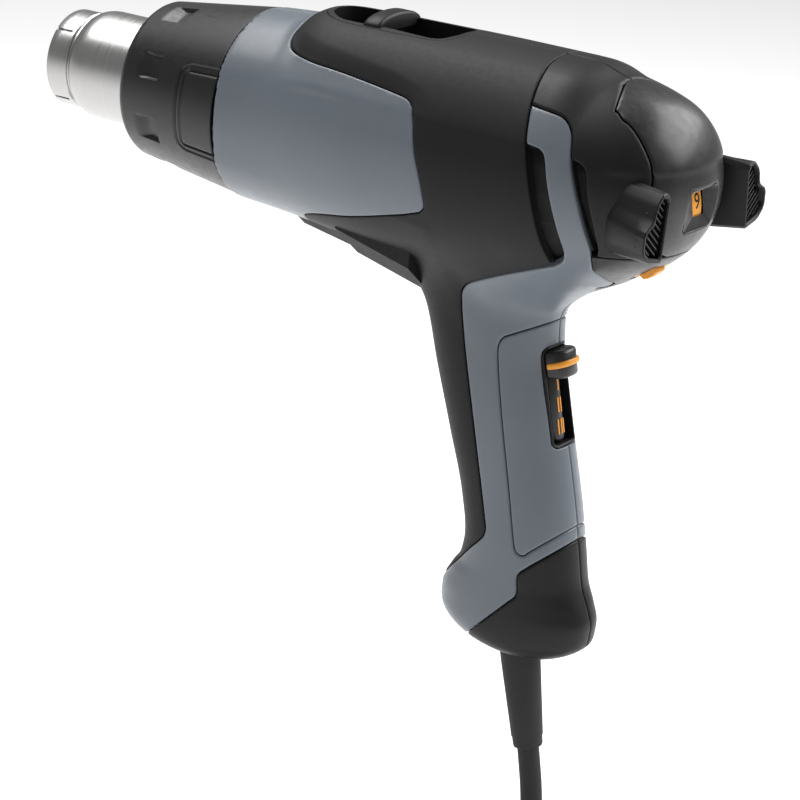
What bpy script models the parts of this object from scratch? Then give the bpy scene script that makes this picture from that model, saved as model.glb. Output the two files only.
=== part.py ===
"""Electric heat gun: pistol-shaped blower with a steel nozzle, rear stand feet and a mains cord.

Units are metres and +Z is up. Lengths along the gun are measured from the nozzle's mouth (x) and
from the barrel's axis (z). The nozzle points to -X and the gun's left side is -Y. The empty
`gun_datum` moves all of it so that the world's origin lies in the middle of the handle.
"""
import math

import bmesh
import bpy
import numpy as np
from mathutils import Matrix, Vector

# ---------------------------------------------------------------- driving dimensions
GRIP_CENTRE = Vector((0.190, 0.0, -0.095))
GAP = 0.0003
HALF_GAP = GAP / 2
SKIN = 0.0012
HOUSING_OUT = SKIN + GAP
HOUSING_IN = 0.0032
COVER = 0.0018
FAR = 0.080
SIDES = (-1, 1)

# barrel: x, top, bottom, half width, along the barrel's axis
SHELL_FRONT = 0.0834
BARREL = (
    (SHELL_FRONT, 0.0326, -0.0326, 0.0326),
    (0.105, 0.0342, -0.0340, 0.0336),
    (0.130, 0.0359, -0.0364, 0.0351),
    (0.160, 0.0369, -0.0378, 0.0366),
    (0.190, 0.0372, -0.0368, 0.0372),
    (0.210, 0.0368, -0.0340, 0.0364),
    (0.224, 0.0346, -0.0298, 0.0343),
    (0.235, 0.0305, -0.0250, 0.0305),
    (0.243, 0.0253, -0.0200, 0.0252),
    (0.249, 0.0180, -0.0130, 0.0180),
    (0.2522, 0.0095, -0.0050, 0.0090),
)
BARREL_POWER = 2.12
BARREL_SIDES = 24
TAIL_START = 0.230

# handle: z, front x, rear x, half width
HANDLE = (
    (-0.022, 0.150, 0.216, 0.0185),
    (-0.044, 0.1530, 0.2052, 0.0170),
    (-0.056, 0.1582, 0.2048, 0.0168),
    (-0.084, 0.1672, 0.2110, 0.0167),
    (-0.111, 0.1767, 0.2176, 0.0171),
    (-0.128, 0.1793, 0.2210, 0.0176),
    (-0.139, 0.1750, 0.2235, 0.0180),
    (-0.146, 0.1722, 0.2265, 0.0184),
    (-0.153, 0.1736, 0.2272, 0.0182),
    (-0.159, 0.1800, 0.2245, 0.0168),
    (-0.1636, 0.1925, 0.2180, 0.0135),
)
HANDLE_POWER = 2.35
HANDLE_SIDES = 16
HANDLE_TAPER = 0.10
RAKE = math.radians(12.5)

# raised pod on top, and keel below the barrel
POD = {"front": 0.1055, "rear": 0.205, "half": 0.0215, "top": 0.0386, "low": 0.020}
KEEL = ((0.1055, -0.0372), (0.1285, -0.0409), (0.1290, -0.0424), (0.160, -0.0495))
KEEL_HALF = 0.0085

# stand feet: the plane of their rear faces, and (distance to the side, z) of both ends
FOOT_FACE = 0.2526
FOOT_ROOT = 0.2345
FOOT_WALL = 0.0013
FOOT_POCKET = 0.0050
FOOT_REAR = ((0.0274, 0.0083), (0.0353, 0.0019), (0.0405, -0.0009), (0.0403, -0.0080), (0.0280, -0.0125))
FOOT_FRONT = ((0.0240, 0.0150), (0.0300, 0.0140), (0.0355, 0.0000), (0.0350, -0.0140), (0.0240, -0.0160))

# steel nozzle and sleeve
NOZZLE_R = 0.0170
NOZZLE_BACK_R = 0.0190
NOZZLE_WALL = 0.0010
NOZZLE_TIP = 0.0185
NOZZLE_END = 0.0860
SLEEVE = {"front": 0.0401, "rear": 0.0831, "front_r": 0.0269, "rear_r": 0.0326, "wall": 0.0024}

CORE_TIP_R = 0.0132
CORE_ROOT_R = 0.0060
WIRE_COIL_R = 0.0019
WIRE_AT = 0.0110

# outlines of the covers, seen from the side: (x, z)
CHIN_TOP = -0.0160
MAIN_SEAM = ((0.1968, 0.060), (0.1974, 0.0389), (0.1995, 0.0351), (0.2016, 0.0278), (0.2055, 0.0144),
             (0.2081, 0.0066), (0.2110, -0.0042), (0.2130, -0.0142), (0.2146, -0.0215))
BAND_LEFT = ((0.2049, 0.0168), (0.2102, 0.0157), (0.2121, 0.0131), (0.2144, 0.0059), (0.2165, -0.0007),
             (0.2185, -0.0079), (0.2198, -0.0154), (0.2185, -0.0195), (0.2150, -0.0222))
BAND_RIGHT = ((0.2017, 0.0275), (0.2123, 0.0262), (0.2151, 0.0249), (0.2174, 0.0227), (0.2189, 0.0201),
              (0.2210, 0.0132), (0.2248, 0.0030), (0.2271, -0.0053), (0.2284, -0.0131),
              (0.2277, -0.0180), (0.2266, -0.0218))
SLOT_RIGHT = ((0.2207, 0.0146), (0.2237, 0.0139), (0.2258, 0.0119), (0.2279, 0.0036),
              (0.2299, -0.0048), (0.2306, -0.0127), (0.2295, -0.0159), (0.2278, -0.0175))
GRIP_SEAM = ((0.1983, -0.0288), (0.1822, -0.0362), (0.1785, -0.0390), (0.1771, -0.0426),
             (0.1782, -0.0542), (0.1809, -0.0673), (0.1857, -0.0868), (0.1931, -0.1163),
             (0.1937, -0.1197), (0.1928, -0.1225), (0.1876, -0.1280), (0.1737, -0.1435),
             (0.1600, -0.1585))
CAP_SEAM = ((0.2450, -0.0975), (0.2182, -0.1219), (0.2081, -0.1308), (0.2070, -0.1328),
            (0.2074, -0.1390), (0.2051, -0.1420), (0.1901, -0.1579), (0.1780, -0.1700))
PANEL_TOP = ((0.1045, 0.060), (0.1045, 0.0310), (0.1055, 0.0283), (0.1080, 0.0263), (0.1140, 0.0252),
             (0.1320, 0.0240), (0.1540, 0.0218), (0.1590, 0.0209), (0.1616, 0.0190))
PANEL_BACK = ((0.1635, 0.0142), (0.1661, 0.0063), (0.1692, -0.0017), (0.1709, -0.0090),
              (0.1708, -0.0112), (0.1693, -0.0130))
PANEL_LOW = ((0.1630, -0.0153), (0.1400, -0.0220), (0.1172, -0.0276), (0.1125, -0.0330),
             (0.1080, -0.0380), (0.1080, -0.060))
INLAY = ((0.2400, -0.0330), (0.2090, -0.0460), (0.1926, -0.0536), (0.1913, -0.0555), (0.1909, -0.0583),
         (0.1924, -0.0682), (0.1959, -0.0844), (0.2006, -0.1039), (0.2047, -0.1221),
         (0.2060, -0.1246), (0.2081, -0.1252), (0.2100, -0.1235), (0.2400, -0.0975))
CHIN_SEAM = ((0.2266, -0.0218), (0.2274, -0.0242), (0.2272, -0.0285), (0.2251, -0.0304),
             (0.2203, -0.0328), (0.2180, -0.0450))
HOOD_SEAM = ((0.2187, 0.060), (0.2187, 0.0360), (0.2242, 0.0332), (0.2269, 0.0288), (0.2289, 0.0272),
             (0.2325, 0.0260), (0.2362, 0.0237), (0.2402, 0.0194), (0.2433, 0.0144), (0.2442, 0.0109),
             (0.2446, CHIN_TOP))

# moving parts
FAN_X = 0.1875
FAN_R = 0.0290
FAN_BLADES = 9
MOTOR = (0.1405, 0.1790, 0.0180)
SHAFT_R = 0.0016
SHAFT_END = 0.1958
WHEEL = {"x": 0.2230, "z": -0.0039, "r": 0.0252, "half": 0.0062, "rim": 0.0025, "web": 0.0012, "hub": 0.0050}
THUMB_SLOT = (0.2200, 0.2424)
POT_SHAFT_R = 0.0016
SLIDER_REST = Vector((0.2060, 0.0, -0.0611))
BAY = {"low": -0.0290, "high": 0.0050, "deep": 0.0094, "half": 0.0074, "wall": 0.0009}

# screws: (x, z), and how far their seats lie from the middle plane
SCREWS = ((0.0990, -0.0283), (0.1715, -0.0345), (0.1700, -0.0620), (0.1846, -0.1190), (0.1820, -0.1450))
SCREW_SEAT = 0.0075
SCREW_R = 0.0015
BOSS_R = 0.0045
WELL_R = 0.0032

# mains cord: exit, diameter, and the points of the stretch that isn't coiled
CORD_R = 0.00375
BOOT_TOP = Vector((0.2010, 0.0, -0.1625))
BOOT_END = Vector((0.2085, 0.0, -0.1994))
COIL_CENTRE = Vector((0.2145, 0.0, -0.2790))
COIL_MEAN_R = 0.0410
COIL_HALF_WIDE = 0.0115
COIL_HALF_HIGH = 0.0115
CORD_ROUTE = (
    (0.20855, 0.0, -0.1997), (0.2100, 0.0, -0.2070), (0.2116, -0.0003, -0.2150),
    (0.2139, -0.0022, -0.2260), (0.2172, -0.0078, -0.2385), (0.2212, -0.0172, -0.2490),
    (0.2240, -0.0292, -0.2566), (0.2226, -0.0380, -0.2608), (0.2165, -0.0420, -0.2629),
    (0.2080, -0.0425, -0.26345),
)
TAIL_ROUTE = ((0.1880, -0.0503, -0.2783), (0.1820, -0.0508, -0.2783), (0.1760, -0.0510, -0.2783))
PLUG_REAR = Vector((0.1757, -0.0510, -0.2783))


# ---------------------------------------------------------------- helpers
def clear_scene():
    """Remove every object of the scene the script starts in."""
    for obj in list(bpy.data.objects):
        bpy.data.objects.remove(obj, do_unlink=True)


def finish(name, color, rough, metal=0.0, coat=0.0):
    """One Principled material."""
    mat = bpy.data.materials.new(name)
    mat.use_nodes = True
    shader = mat.node_tree.nodes["Principled BSDF"]
    shader.inputs["Base Color"].default_value = (*color, 1.0)
    shader.inputs["Roughness"].default_value = rough
    shader.inputs["Metallic"].default_value = metal
    shader.inputs["Coat Weight"].default_value = coat
    mat.diffuse_color = (*color, 1.0)
    return mat


def add(name, mesh, mat, at=(0.0, 0.0, 0.0), turn=None):
    """Link a mesh as a named sub-part of the gun, with its origin at `at`."""
    obj = bpy.data.objects.new(name, mesh)
    bpy.context.scene.collection.objects.link(obj)
    obj.parent = DATUM
    obj.location = at
    if turn:
        obj.rotation_euler = turn
    mesh.materials.clear()
    mesh.materials.append(mat)
    return obj


def to_mesh(bm, name="shape"):
    """Close a bmesh into a mesh whose faces point out."""
    bmesh.ops.recalc_face_normals(bm, faces=bm.faces)
    mesh = bpy.data.meshes.new(name)
    bm.to_mesh(mesh)
    bm.free()
    mesh.shade_smooth()
    mesh.set_sharp_from_angle(angle=math.radians(35))
    return mesh


def loft(rings):
    """Skin a list of equal rings and cap both ends."""
    bm = bmesh.new()
    loops = [[bm.verts.new(p) for p in ring] for ring in rings]
    count = len(loops[0])
    for low, high in zip(loops, loops[1:]):
        for i in range(count):
            j = (i + 1) % count
            bm.faces.new((low[i], low[j], high[j], high[i]))
    bm.faces.new(loops[0])
    bm.faces.new(loops[-1])
    return to_mesh(bm)


def power(value, exponent):
    """Signed power, for superellipses."""
    return math.copysign(abs(value) ** exponent, value)


def oval(a, b, exponent, count):
    """Points of a superellipse with half axes a and b."""
    angles = [2 * math.pi * i / count for i in range(count)]
    return [(a * power(math.cos(t), 2 / exponent), b * power(math.sin(t), 2 / exponent)) for t in angles]


def prism(outline, low, high, axis="y"):
    """Extrude a flat outline between two distances along an axis."""
    def point(u, v, w):
        return {"x": (w, u, v), "y": (u, w, v), "z": (u, v, w)}[axis]
    return loft([[point(u, v, low) for u, v in outline], [point(u, v, high) for u, v in outline]])


def box(low, high):
    """Box between two corners."""
    outline = [(low[0], low[1]), (high[0], low[1]), (high[0], high[1]), (low[0], high[1])]
    return prism(outline, low[2], high[2], "z")


def hull(points):
    """Convex solid around some points."""
    bm = bmesh.new()
    for p in points:
        bm.verts.new(p)
    result = bmesh.ops.convex_hull(bm, input=bm.verts)
    loose = [g for g in result["geom_interior"] if isinstance(g, bmesh.types.BMVert)]
    bmesh.ops.delete(bm, geom=loose, context="VERTS")
    return to_mesh(bm)


def turned(profile, count=24, axis="x"):
    """Turn a closed (along, radius) profile round an axis through the origin."""
    bm = bmesh.new()
    rings = []
    for i in range(count):
        t = 2 * math.pi * i / count
        c, s = math.cos(t), math.sin(t)
        place = {"x": lambda a, r: (a, r * c, r * s), "y": lambda a, r: (r * c, a, r * s),
                 "z": lambda a, r: (r * c, r * s, a)}[axis]
        rings.append([bm.verts.new(place(a, r)) for a, r in profile])
    for i in range(count):
        one, two = rings[i], rings[(i + 1) % count]
        for k in range(len(profile)):
            m = (k + 1) % len(profile)
            if profile[k][1] or profile[m][1]:
                bm.faces.new((one[k], one[m], two[m], two[k]))
    bmesh.ops.remove_doubles(bm, verts=bm.verts, dist=1e-6)
    return to_mesh(bm)


def rod(radius, low, high, count=24, axis="x"):
    """Plain round bar along an axis."""
    outline = [(radius * math.cos(2 * math.pi * i / count), radius * math.sin(2 * math.pi * i / count))
               for i in range(count)]
    return prism(outline, low, high, axis)


def moved(mesh, shift=(0.0, 0.0, 0.0), turn=0.0, axis="Y"):
    """Turn a mesh about an axis through the origin, then shift it."""
    mesh.transform(Matrix.Translation(shift) @ Matrix.Rotation(turn, 4, axis))
    return mesh


def boolean(mesh, other, operation="DIFFERENCE"):
    """Combine two meshes with an exact Boolean and give the result back as a mesh."""
    holder = bpy.data.objects.new("work", mesh)
    tool = bpy.data.objects.new("tool", other)
    for obj in (holder, tool):
        bpy.context.scene.collection.objects.link(obj)
    mod = holder.modifiers.new("cut", "BOOLEAN")
    mod.operation = operation
    mod.object = tool
    graph = bpy.context.evaluated_depsgraph_get()
    result = bpy.data.meshes.new_from_object(holder.evaluated_get(graph))
    for obj in (holder, tool):
        bpy.data.objects.remove(obj, do_unlink=True)
    return result


def combine(meshes):
    """Union of several meshes."""
    result = meshes[0]
    for mesh in meshes[1:]:
        result = boolean(result, mesh, "UNION")
    return result


def joined(meshes):
    """Several solids as one tool for a Boolean."""
    bm = bmesh.new()
    for mesh in meshes:
        bm.from_mesh(mesh)
    return to_mesh(bm)


def mirrored(mesh):
    """The same mesh on the other side of the middle plane."""
    copy = mesh.copy()
    copy.transform(Matrix.Scale(-1, 4, (0, 1, 0)))
    copy.flip_normals()
    return copy


def along(*runs):
    """Join several runs of outline points, some given backwards by the caller."""
    return [point for run in runs for point in run]


def back(run):
    """A run of points in the other order."""
    return tuple(reversed(run))


def grown(outline, distance):
    """Move each side of a closed outline outwards by a distance."""
    area = sum(a[0] * b[1] - b[0] * a[1] for a, b in zip(outline, outline[1:] + outline[:1]))
    sign = 1 if area > 0 else -1
    points = [Vector(p) for p in outline]
    result = []
    for i, here in enumerate(points):
        ahead = (points[(i + 1) % len(points)] - here).normalized()
        behind = (here - points[i - 1]).normalized()
        normal = Vector((ahead.y + behind.y, -ahead.x - behind.x)) * sign
        normal.normalize()
        reach = max(normal.dot(Vector((ahead.y, -ahead.x)) * sign), 0.5)
        result.append(tuple(here + normal * (distance / reach)))
    return result


# ---------------------------------------------------------------- outer form
def barrel(inset, reach):
    """Barrel from the nozzle end to the rounded tail, drawn in by `inset`."""
    rings = []
    for x, top, bottom, wide in BARREL:
        x = x - inset if x > TAIL_START else x
        x = x - reach if x == SHELL_FRONT else x
        mid = (top + bottom) / 2
        ring = oval(wide - inset, (top - bottom) / 2 - inset, BARREL_POWER, BARREL_SIDES)
        rings.append([(x, y, mid + z) for y, z in ring])
    return loft(rings)


def handle(inset):
    """Raked handle with a toe at its foot, drawn in by `inset`."""
    rings = []
    lowest = HANDLE[-1][0] + inset
    for z, front, rear, wide in HANDLE:
        mid, half = (front + rear) / 2, (rear - front) / 2 - inset
        z = max(z, lowest)
        ring = oval(half, wide - inset, HANDLE_POWER, HANDLE_SIDES)
        rings.append([(mid + x, y * (1 - HANDLE_TAPER * x / half), z) for x, y in ring])
    return loft(rings)


def pod(inset):
    """Raised back of the barrel that carries the hanging recess."""
    levels = ((POD["low"], 0.0290, -0.0035), (0.0270, 0.0255, -0.0010), (0.0345, 0.0205, 0.0015),
              (0.0374, 0.0150, 0.0035), (POD["top"], 0.0080, 0.0060))
    rings = []
    for z, half, step in levels:
        front = POD["front"] + step + inset
        nose = [(front + 0.010 * (1 - math.sin(t)), (half - inset) * math.cos(t))
                for t in np.linspace(0, math.pi, 9)]
        tail = [(POD["rear"] - inset, inset - half), (POD["rear"] - inset, half - inset)]
        rings.append([(x, y, z - inset) for x, y in nose + tail])
    return loft(rings)


def keel(inset):
    """Step below the barrel that runs into the front of the handle."""
    rings = []
    for x, low in KEEL:
        floor, half, side = low + inset, KEEL_HALF - inset / 2, 0.0235 - inset
        ring = [(-half, floor), (half, floor), (side, low + 0.0125), (side, -0.018), (-side, -0.018),
                (-side, low + 0.0125)]
        shift = {KEEL[0][0]: inset, KEEL[-1][0]: -inset}.get(x, 0.0)
        rings.append([(x + shift, y, z) for y, z in ring])
    return loft(rings)


def body(inset, reach=0.0):
    """Whole outer form as one solid, drawn in by `inset`; `reach` lengthens its front end."""
    return combine([barrel(inset, reach), handle(inset), keel(inset), pod(inset)])


def wall(outside, inside):
    """Shell between two depths below the surface, open at the nozzle end."""
    return boolean(body(outside), body(inside, 0.004))


def cover(shell, outline, low=-FAR, high=-HALF_GAP, cuts=()):
    """The stretch of a shell inside an outline seen from the side."""
    piece = boolean(shell, prism(grown(list(outline), -HALF_GAP), low, high), "INTERSECT")
    for cut in cuts:
        piece = boolean(piece, cut)
    return piece


def add_pair(name, mesh, mat, right_cuts=()):
    """A left-hand piece and its mirror image."""
    twin = mirrored(mesh)
    for cut in right_cuts:
        twin = boolean(twin, cut)
    add(name + "_left", mesh, mat)
    add(name + "_right", twin, mat)


def raked(mesh, at=SLIDER_REST):
    """Set a mesh drawn upright on the back of the handle."""
    return moved(mesh, at, -RAKE)


# ---------------------------------------------------------------- cutters shared by several covers
def recess_outline(less=0.0):
    """Plan of the hanging recess in the pod."""
    half = [(0.1080, 0.0035), (0.1090, 0.0062), (0.1122, 0.0098), (0.1175, 0.0125), (0.1270, 0.0134),
            (0.1540, 0.0131), (0.1590, 0.0115), (0.1618, 0.0060)]
    whole = half + [(x, -y) for x, y in reversed(half)]
    return grown(whole, -less)


def recess_cutter():
    """Hole for the hanging recess."""
    return prism(recess_outline(), 0.0150, 0.0500, "z")


def bay_cutter():
    """Hole in the back of the handle for the switch bay."""
    half = BAY["half"] + GAP
    return raked(box((-BAY["deep"] - GAP, -half, BAY["low"] - GAP), (0.0100, half, BAY["high"] + GAP)))


def left_slot():
    """Air slot between the grip cover and the grey band."""
    outline = along(MAIN_SEAM[4:], ((0.2150, -0.0222),), back(BAND_LEFT[1:-1]))
    return prism(grown(list(outline), GAP), -FAR, FAR)


def right_slot():
    """Air slot behind the grey band."""
    outline = along(SLOT_RIGHT, back(BAND_RIGHT[5:10]))
    return prism(grown(list(outline), GAP), -FAR, FAR)


def wheel_cutter():
    """Room for the temperature wheel inside the rear covers."""
    return moved(rod(WHEEL["r"] + 0.0006, -WHEEL["half"] - 0.0006, WHEEL["half"] + 0.0006, 32, "y"),
                 (WHEEL["x"], 0.0, WHEEL["z"]))


def thumb_cutter():
    """Slot in the chin and the panel before it, where the wheel's rim stands out for the thumb."""
    front, rear = THUMB_SLOT
    half = WHEEL["half"] + 0.0006
    return box((front, -half, -0.0400), (rear, half, -0.0100))


def window_cutter():
    """Window over the wheel's numbers."""
    return box((0.2380, -0.0078, -0.0068), (0.2600, 0.0078, 0.0062))


def boot_cutter():
    """Hole for the cord boot in the base."""
    return moved(rod(0.0072, -0.016, 0.010, 20, "z"), BOOT_TOP, -RAKE)


def screw_tools(radius, low, high, count=10):
    """A bar at each place where a screw joins the two housing halves."""
    return joined([moved(rod(radius, low, high, count, "y"), (x, 0.0, z)) for x, z in SCREWS])


# ---------------------------------------------------------------- covers and housing
def make_covers():
    """Grey and black covers, left and right."""
    skin = wall(0.0, SKIN)
    thick = wall(0.0, COVER)
    panel = along(((0.0784, 0.060),), PANEL_TOP, PANEL_BACK, PANEL_LOW, ((0.0784, -0.060),))
    add_pair("barrel_panel", cover(skin, panel), GREY, [WELLS])
    grip = along(MAIN_SEAM, GRIP_SEAM, ((0.140, -0.1585), (0.140, -0.060)),
                 back(PANEL_LOW), back(PANEL_BACK), back(PANEL_TOP))
    add_pair("grip_cover", cover(skin, grip, cuts=[recess_cutter()]), SOFT_BLACK, [WELLS])
    grey = along(BAND_LEFT, GRIP_SEAM, ((0.150, -0.1700),), back(CAP_SEAM), ((0.2450, -0.0450),),
                 back(CHIN_SEAM), back(BAND_RIGHT))
    inlay_hole = prism(grown(list(INLAY), HALF_GAP), -FAR, FAR)
    notches = [inlay_hole, bay_cutter(), thumb_cutter()]
    add_pair("handle_panel", cover(skin, grey, cuts=notches), GREY, [WELLS])
    add_pair("handle_inlay", cover(skin, INLAY, cuts=[bay_cutter()]), GREY)
    side = along(HOOD_SEAM, ((0.2281, CHIN_TOP),), back(BAND_RIGHT[:9]), back(MAIN_SEAM[:4]))
    add_pair("rear_side_cover", cover(skin, side, cuts=[right_slot(), wheel_cutter()]), BLACK)
    base = along(CAP_SEAM, ((0.1780, -0.1800), (0.2450, -0.1800)))
    add_pair("base_cap", cover(thick, base, cuts=[boot_cutter()]), BLACK)
    hood = along(HOOD_SEAM, ((0.2700, CHIN_TOP), (0.2700, 0.060)))
    add("rear_hood", cover(thick, hood, high=FAR, cuts=[wheel_cutter(), window_cutter()]), HOOD_BLACK)
    chin = along(((0.2281, CHIN_TOP), BAND_RIGHT[9]), CHIN_SEAM, ((0.2700, -0.0450), (0.2700, CHIN_TOP)))
    add("chin_cover", cover(thick, chin, high=FAR, cuts=[wheel_cutter(), thumb_cutter()]), BLACK)


def make_housing():
    """Two structural halves below the covers, held by screws from the right."""
    outline = along(((0.0784, 0.060), (0.2180, 0.060)), HOOD_SEAM[1:6],
                    ((0.2340, 0.0120), (0.2340, -0.0150), (0.2277, -0.0150), (0.2262, -0.0218)),
                    CHIN_SEAM[1:], ((0.2450, -0.0450),), CAP_SEAM, ((0.1500, -0.1700), (0.1400, -0.060),
                    (0.0784, -0.060)))
    shell = wall(HOUSING_OUT, HOUSING_IN)
    shrunk = grown(list(outline), -0.0008)
    half = cover(shell, shrunk, cuts=[recess_cutter(), bay_cutter(), left_slot(), right_slot(),
                                        wheel_cutter()])
    bosses = boolean(screw_tools(BOSS_R, -FAR, -HALF_GAP), body(HOUSING_OUT + HALF_GAP), "INTERSECT")
    half = boolean(boolean(half, bosses, "UNION"), screw_tools(SCREW_R + GAP, -SCREW_SEAT - 0.0025, FAR))
    add_pair("housing", half, GREY, [WELLS])


def make_screws():
    """Screws that draw the housing halves together, with their heads sunk in wells on the right."""
    for number, (x, z) in enumerate(SCREWS, 1):
        shank = rod(SCREW_R, -SCREW_SEAT - 0.0020, SCREW_SEAT + 0.0010, 10, "y")
        head = rod(WELL_R - GAP, SCREW_SEAT + GAP, SCREW_SEAT + 0.0022, 14, "y")
        add(f"housing_screw_{number}", moved(boolean(head, shank, "UNION"), (x, 0.0, z)), STEEL)


def make_recess():
    """Tray in the pod with the arched strap that a hook passes under."""
    tray = prism(recess_outline(GAP), 0.0275, 0.0450, "z")
    tray = boolean(tray, body(0.0), "INTERSECT")
    tray = boolean(tray, prism(recess_outline(0.0022), 0.0287, 0.0600, "z"))
    arch = []
    for x in (0.1275, 0.1290, 0.1325, 0.1340):
        lift = 0.0008 if x in (0.1275, 0.1340) else 0.0
        top = [(0.0122 * math.cos(t), 0.0362 + (0.0042 - lift) * math.sin(t)) for t in np.linspace(0, math.pi, 9)]
        low = [(-0.0122, 0.0345), (0.0122, 0.0345)]
        arch.append([(x, y, z) for y, z in top + low])
    add("hanging_recess", boolean(tray, loft(arch), "UNION"), BLACK)


def make_screens():
    """Dust screens behind the air slots."""
    outline = ((0.2020, 0.0200), (0.2320, 0.0200), (0.2330, -0.0150), (0.2240, -0.0215), (0.2080, -0.0215))
    screen = cover(wall(HOUSING_IN + GAP, HOUSING_IN + 0.0012), outline)
    add_pair("intake_screen", screen, DARK_STEEL)


def make_feet():
    """Stand feet at the tail; the gun rests on their rear faces when it is stood up."""
    points = [(FOOT_FACE, -y, z) for y, z in FOOT_REAR] + [(FOOT_ROOT, -y, z) for y, z in FOOT_FRONT]
    foot = boolean(hull(points), body(-GAP))
    pocket = grown([(-y, z) for y, z in FOOT_REAR], -FOOT_WALL)
    pocket = prism(pocket, FOOT_FACE - FOOT_POCKET, FOOT_FACE + FAR, "x")
    add_pair("stand_foot", boolean(foot, pocket), BLACK)


# ---------------------------------------------------------------- hot end
def make_nozzle():
    """Stainless blow-out tube, stepped up behind its grooved front ring and held by a flange."""
    r, b, w = NOZZLE_R, NOZZLE_BACK_R, NOZZLE_WALL
    outer = [(0.0, r - 0.0006), (0.0006, r), (0.0088, r), (0.0094, r - 0.0012), (0.0112, r - 0.0012),
             (0.0124, r + 0.0002), (0.0150, b - 0.0004), (0.0175, b), (NOZZLE_TIP, b)]
    inner = [(NOZZLE_TIP, b - w), (0.0172, b - w), (0.0150, b - w - 0.0005), (0.0128, r - w),
             (0.0114, r - w - 0.0012), (0.0092, r - w - 0.0012), (0.0082, r - w), (0.0, r - w)]
    add("nozzle_tip", turned(outer + inner, 28), STEEL)
    start = NOZZLE_TIP + GAP
    add("nozzle_tube", turned([(start, b), (NOZZLE_END, b), (NOZZLE_END, b - w), (start, b - w)], 28), STEEL)
    flange = [(NOZZLE_END + GAP, 0.0290), (NOZZLE_END + 0.0018, 0.0290), (NOZZLE_END + 0.0018, 0.0176),
              (NOZZLE_END + GAP, 0.0176)]
    add("nozzle_flange", turned(flange), STEEL)


def make_sleeve():
    """Protective sleeve, which twists off its bayonet."""
    s = SLEEVE
    lip = 0.0200
    outer = [(s["front"], lip), (s["front"], s["front_r"] - 0.0020), (s["front"] + 0.0015, s["front_r"]),
             (s["rear"], s["rear_r"])]
    inner = [(s["rear"], s["rear_r"] - s["wall"]), (s["front"] + 0.0040, s["front_r"] - s["wall"] - 0.0005),
             (s["front"] + 0.0024, lip)]
    tube = turned(outer + inner, 28)
    for i in range(8):
        pocket = box((0.0475, -0.0044, 0.0272), (0.0570, 0.0044, 0.0400))
        pocket = moved(pocket, turn=2 * math.pi * (i + 0.5) / 8, axis="X")
        tube = boolean(tube, pocket)
    for side in SIDES:
        pad = hull([(x, y, z) for x, z in ((0.0675, 0.0312), (0.0825, 0.0333)) for y in (-0.013, 0.013)] +
                   [(x, y, z) for x, z in ((0.0675, 0.0270), (0.0825, 0.0290)) for y in (-0.016, 0.016)])
        tube = boolean(tube, moved(pad, turn=side * math.pi / 2, axis="X"), "UNION")
    add("protective_sleeve", tube, SOFT_BLACK)


def make_element():
    """Ceramic core, heating wire and mica tube inside the nozzle."""
    mica = [(0.0190, 0.0156), (0.0840, 0.0156), (0.0840, 0.0150), (0.0190, 0.0150)]
    add("mica_tube", turned(mica), MICA)
    star = []
    for k in range(12):
        r, t = CORE_TIP_R if k % 2 else CORE_ROOT_R, 2 * math.pi * k / 12
        star.append((r * math.cos(t), r * math.sin(t)))
    add("ceramic_core", prism(star, 0.0200, 0.0830, "x"), CERAMIC)
    washer = [(0.0880, 0.0185), (0.0920, 0.0185), (0.0920, 0.0060), (0.0880, 0.0060)]
    add("element_holder", turned(washer), CERAMIC)
    wire = turned([(0.0836, 0.0085), (0.0836, 0.0121), (0.0850, 0.0121), (0.0850, 0.0085)], 24)
    for k in range(6):
        t = math.pi / 3 * k
        coil = rod(WIRE_COIL_R, 0.0230, 0.0845, 8, "x")
        wire = boolean(wire, moved(coil, (0.0, WIRE_AT * math.cos(t), WIRE_AT * math.sin(t))), "UNION")
    add("heating_wire", wire, DARK_STEEL)


# ---------------------------------------------------------------- blower
def make_blower():
    """Motor, fan and the duct round them."""
    front, rear, r = MOTOR
    wide = FAN_R + 0.0018
    outer = [(0.0960, 0.0234), (0.1640, 0.0262), (0.1760, wide), (0.2000, wide)]
    duct = outer + [(x, y - 0.0010) for x, y in reversed(outer)]
    tube = turned(duct)
    spokes = []
    for k in range(3):
        spoke = box((0.1450, -0.0010, r + GAP), (0.1600, 0.0010, 0.0264))
        spokes.append(moved(spoke, turn=2 * math.pi * k / 3 + 0.5, axis="X"))
    for spoke in spokes:
        tube = boolean(tube, spoke, "UNION")
    add("fan_duct", tube, BLACK)
    can = [(front, 0.0060), (front, r - 0.0015), (front + 0.0015, r), (rear, r), (rear, 0.0030),
           (front + 0.0150, 0.0030), (front + 0.0150, 0.0060)]
    add("motor", turned(can), STEEL)
    hub = [(-0.0070, SHAFT_R + GAP), (-0.0070, 0.0085), (0.0065, 0.0085), (0.0075, 0.0070),
           (0.0075, SHAFT_R + GAP)]
    fan = turned(hub, 16)
    for k in range(FAN_BLADES):
        blade = box((-0.0060, -0.0006, 0.0080), (0.0060, 0.0006, FAN_R - 0.0012))
        blade = moved(blade, turn=math.radians(38), axis="Z")
        fan = boolean(fan, moved(blade, turn=2 * math.pi * k / FAN_BLADES, axis="X"), "UNION")
    add("fan", fan, BLACK, at=(FAN_X, 0.0, 0.0))
    add("motor_shaft", rod(SHAFT_R, front + 0.0155 - FAN_X, SHAFT_END - FAN_X, 12), STEEL, at=(FAN_X, 0.0, 0.0))


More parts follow.
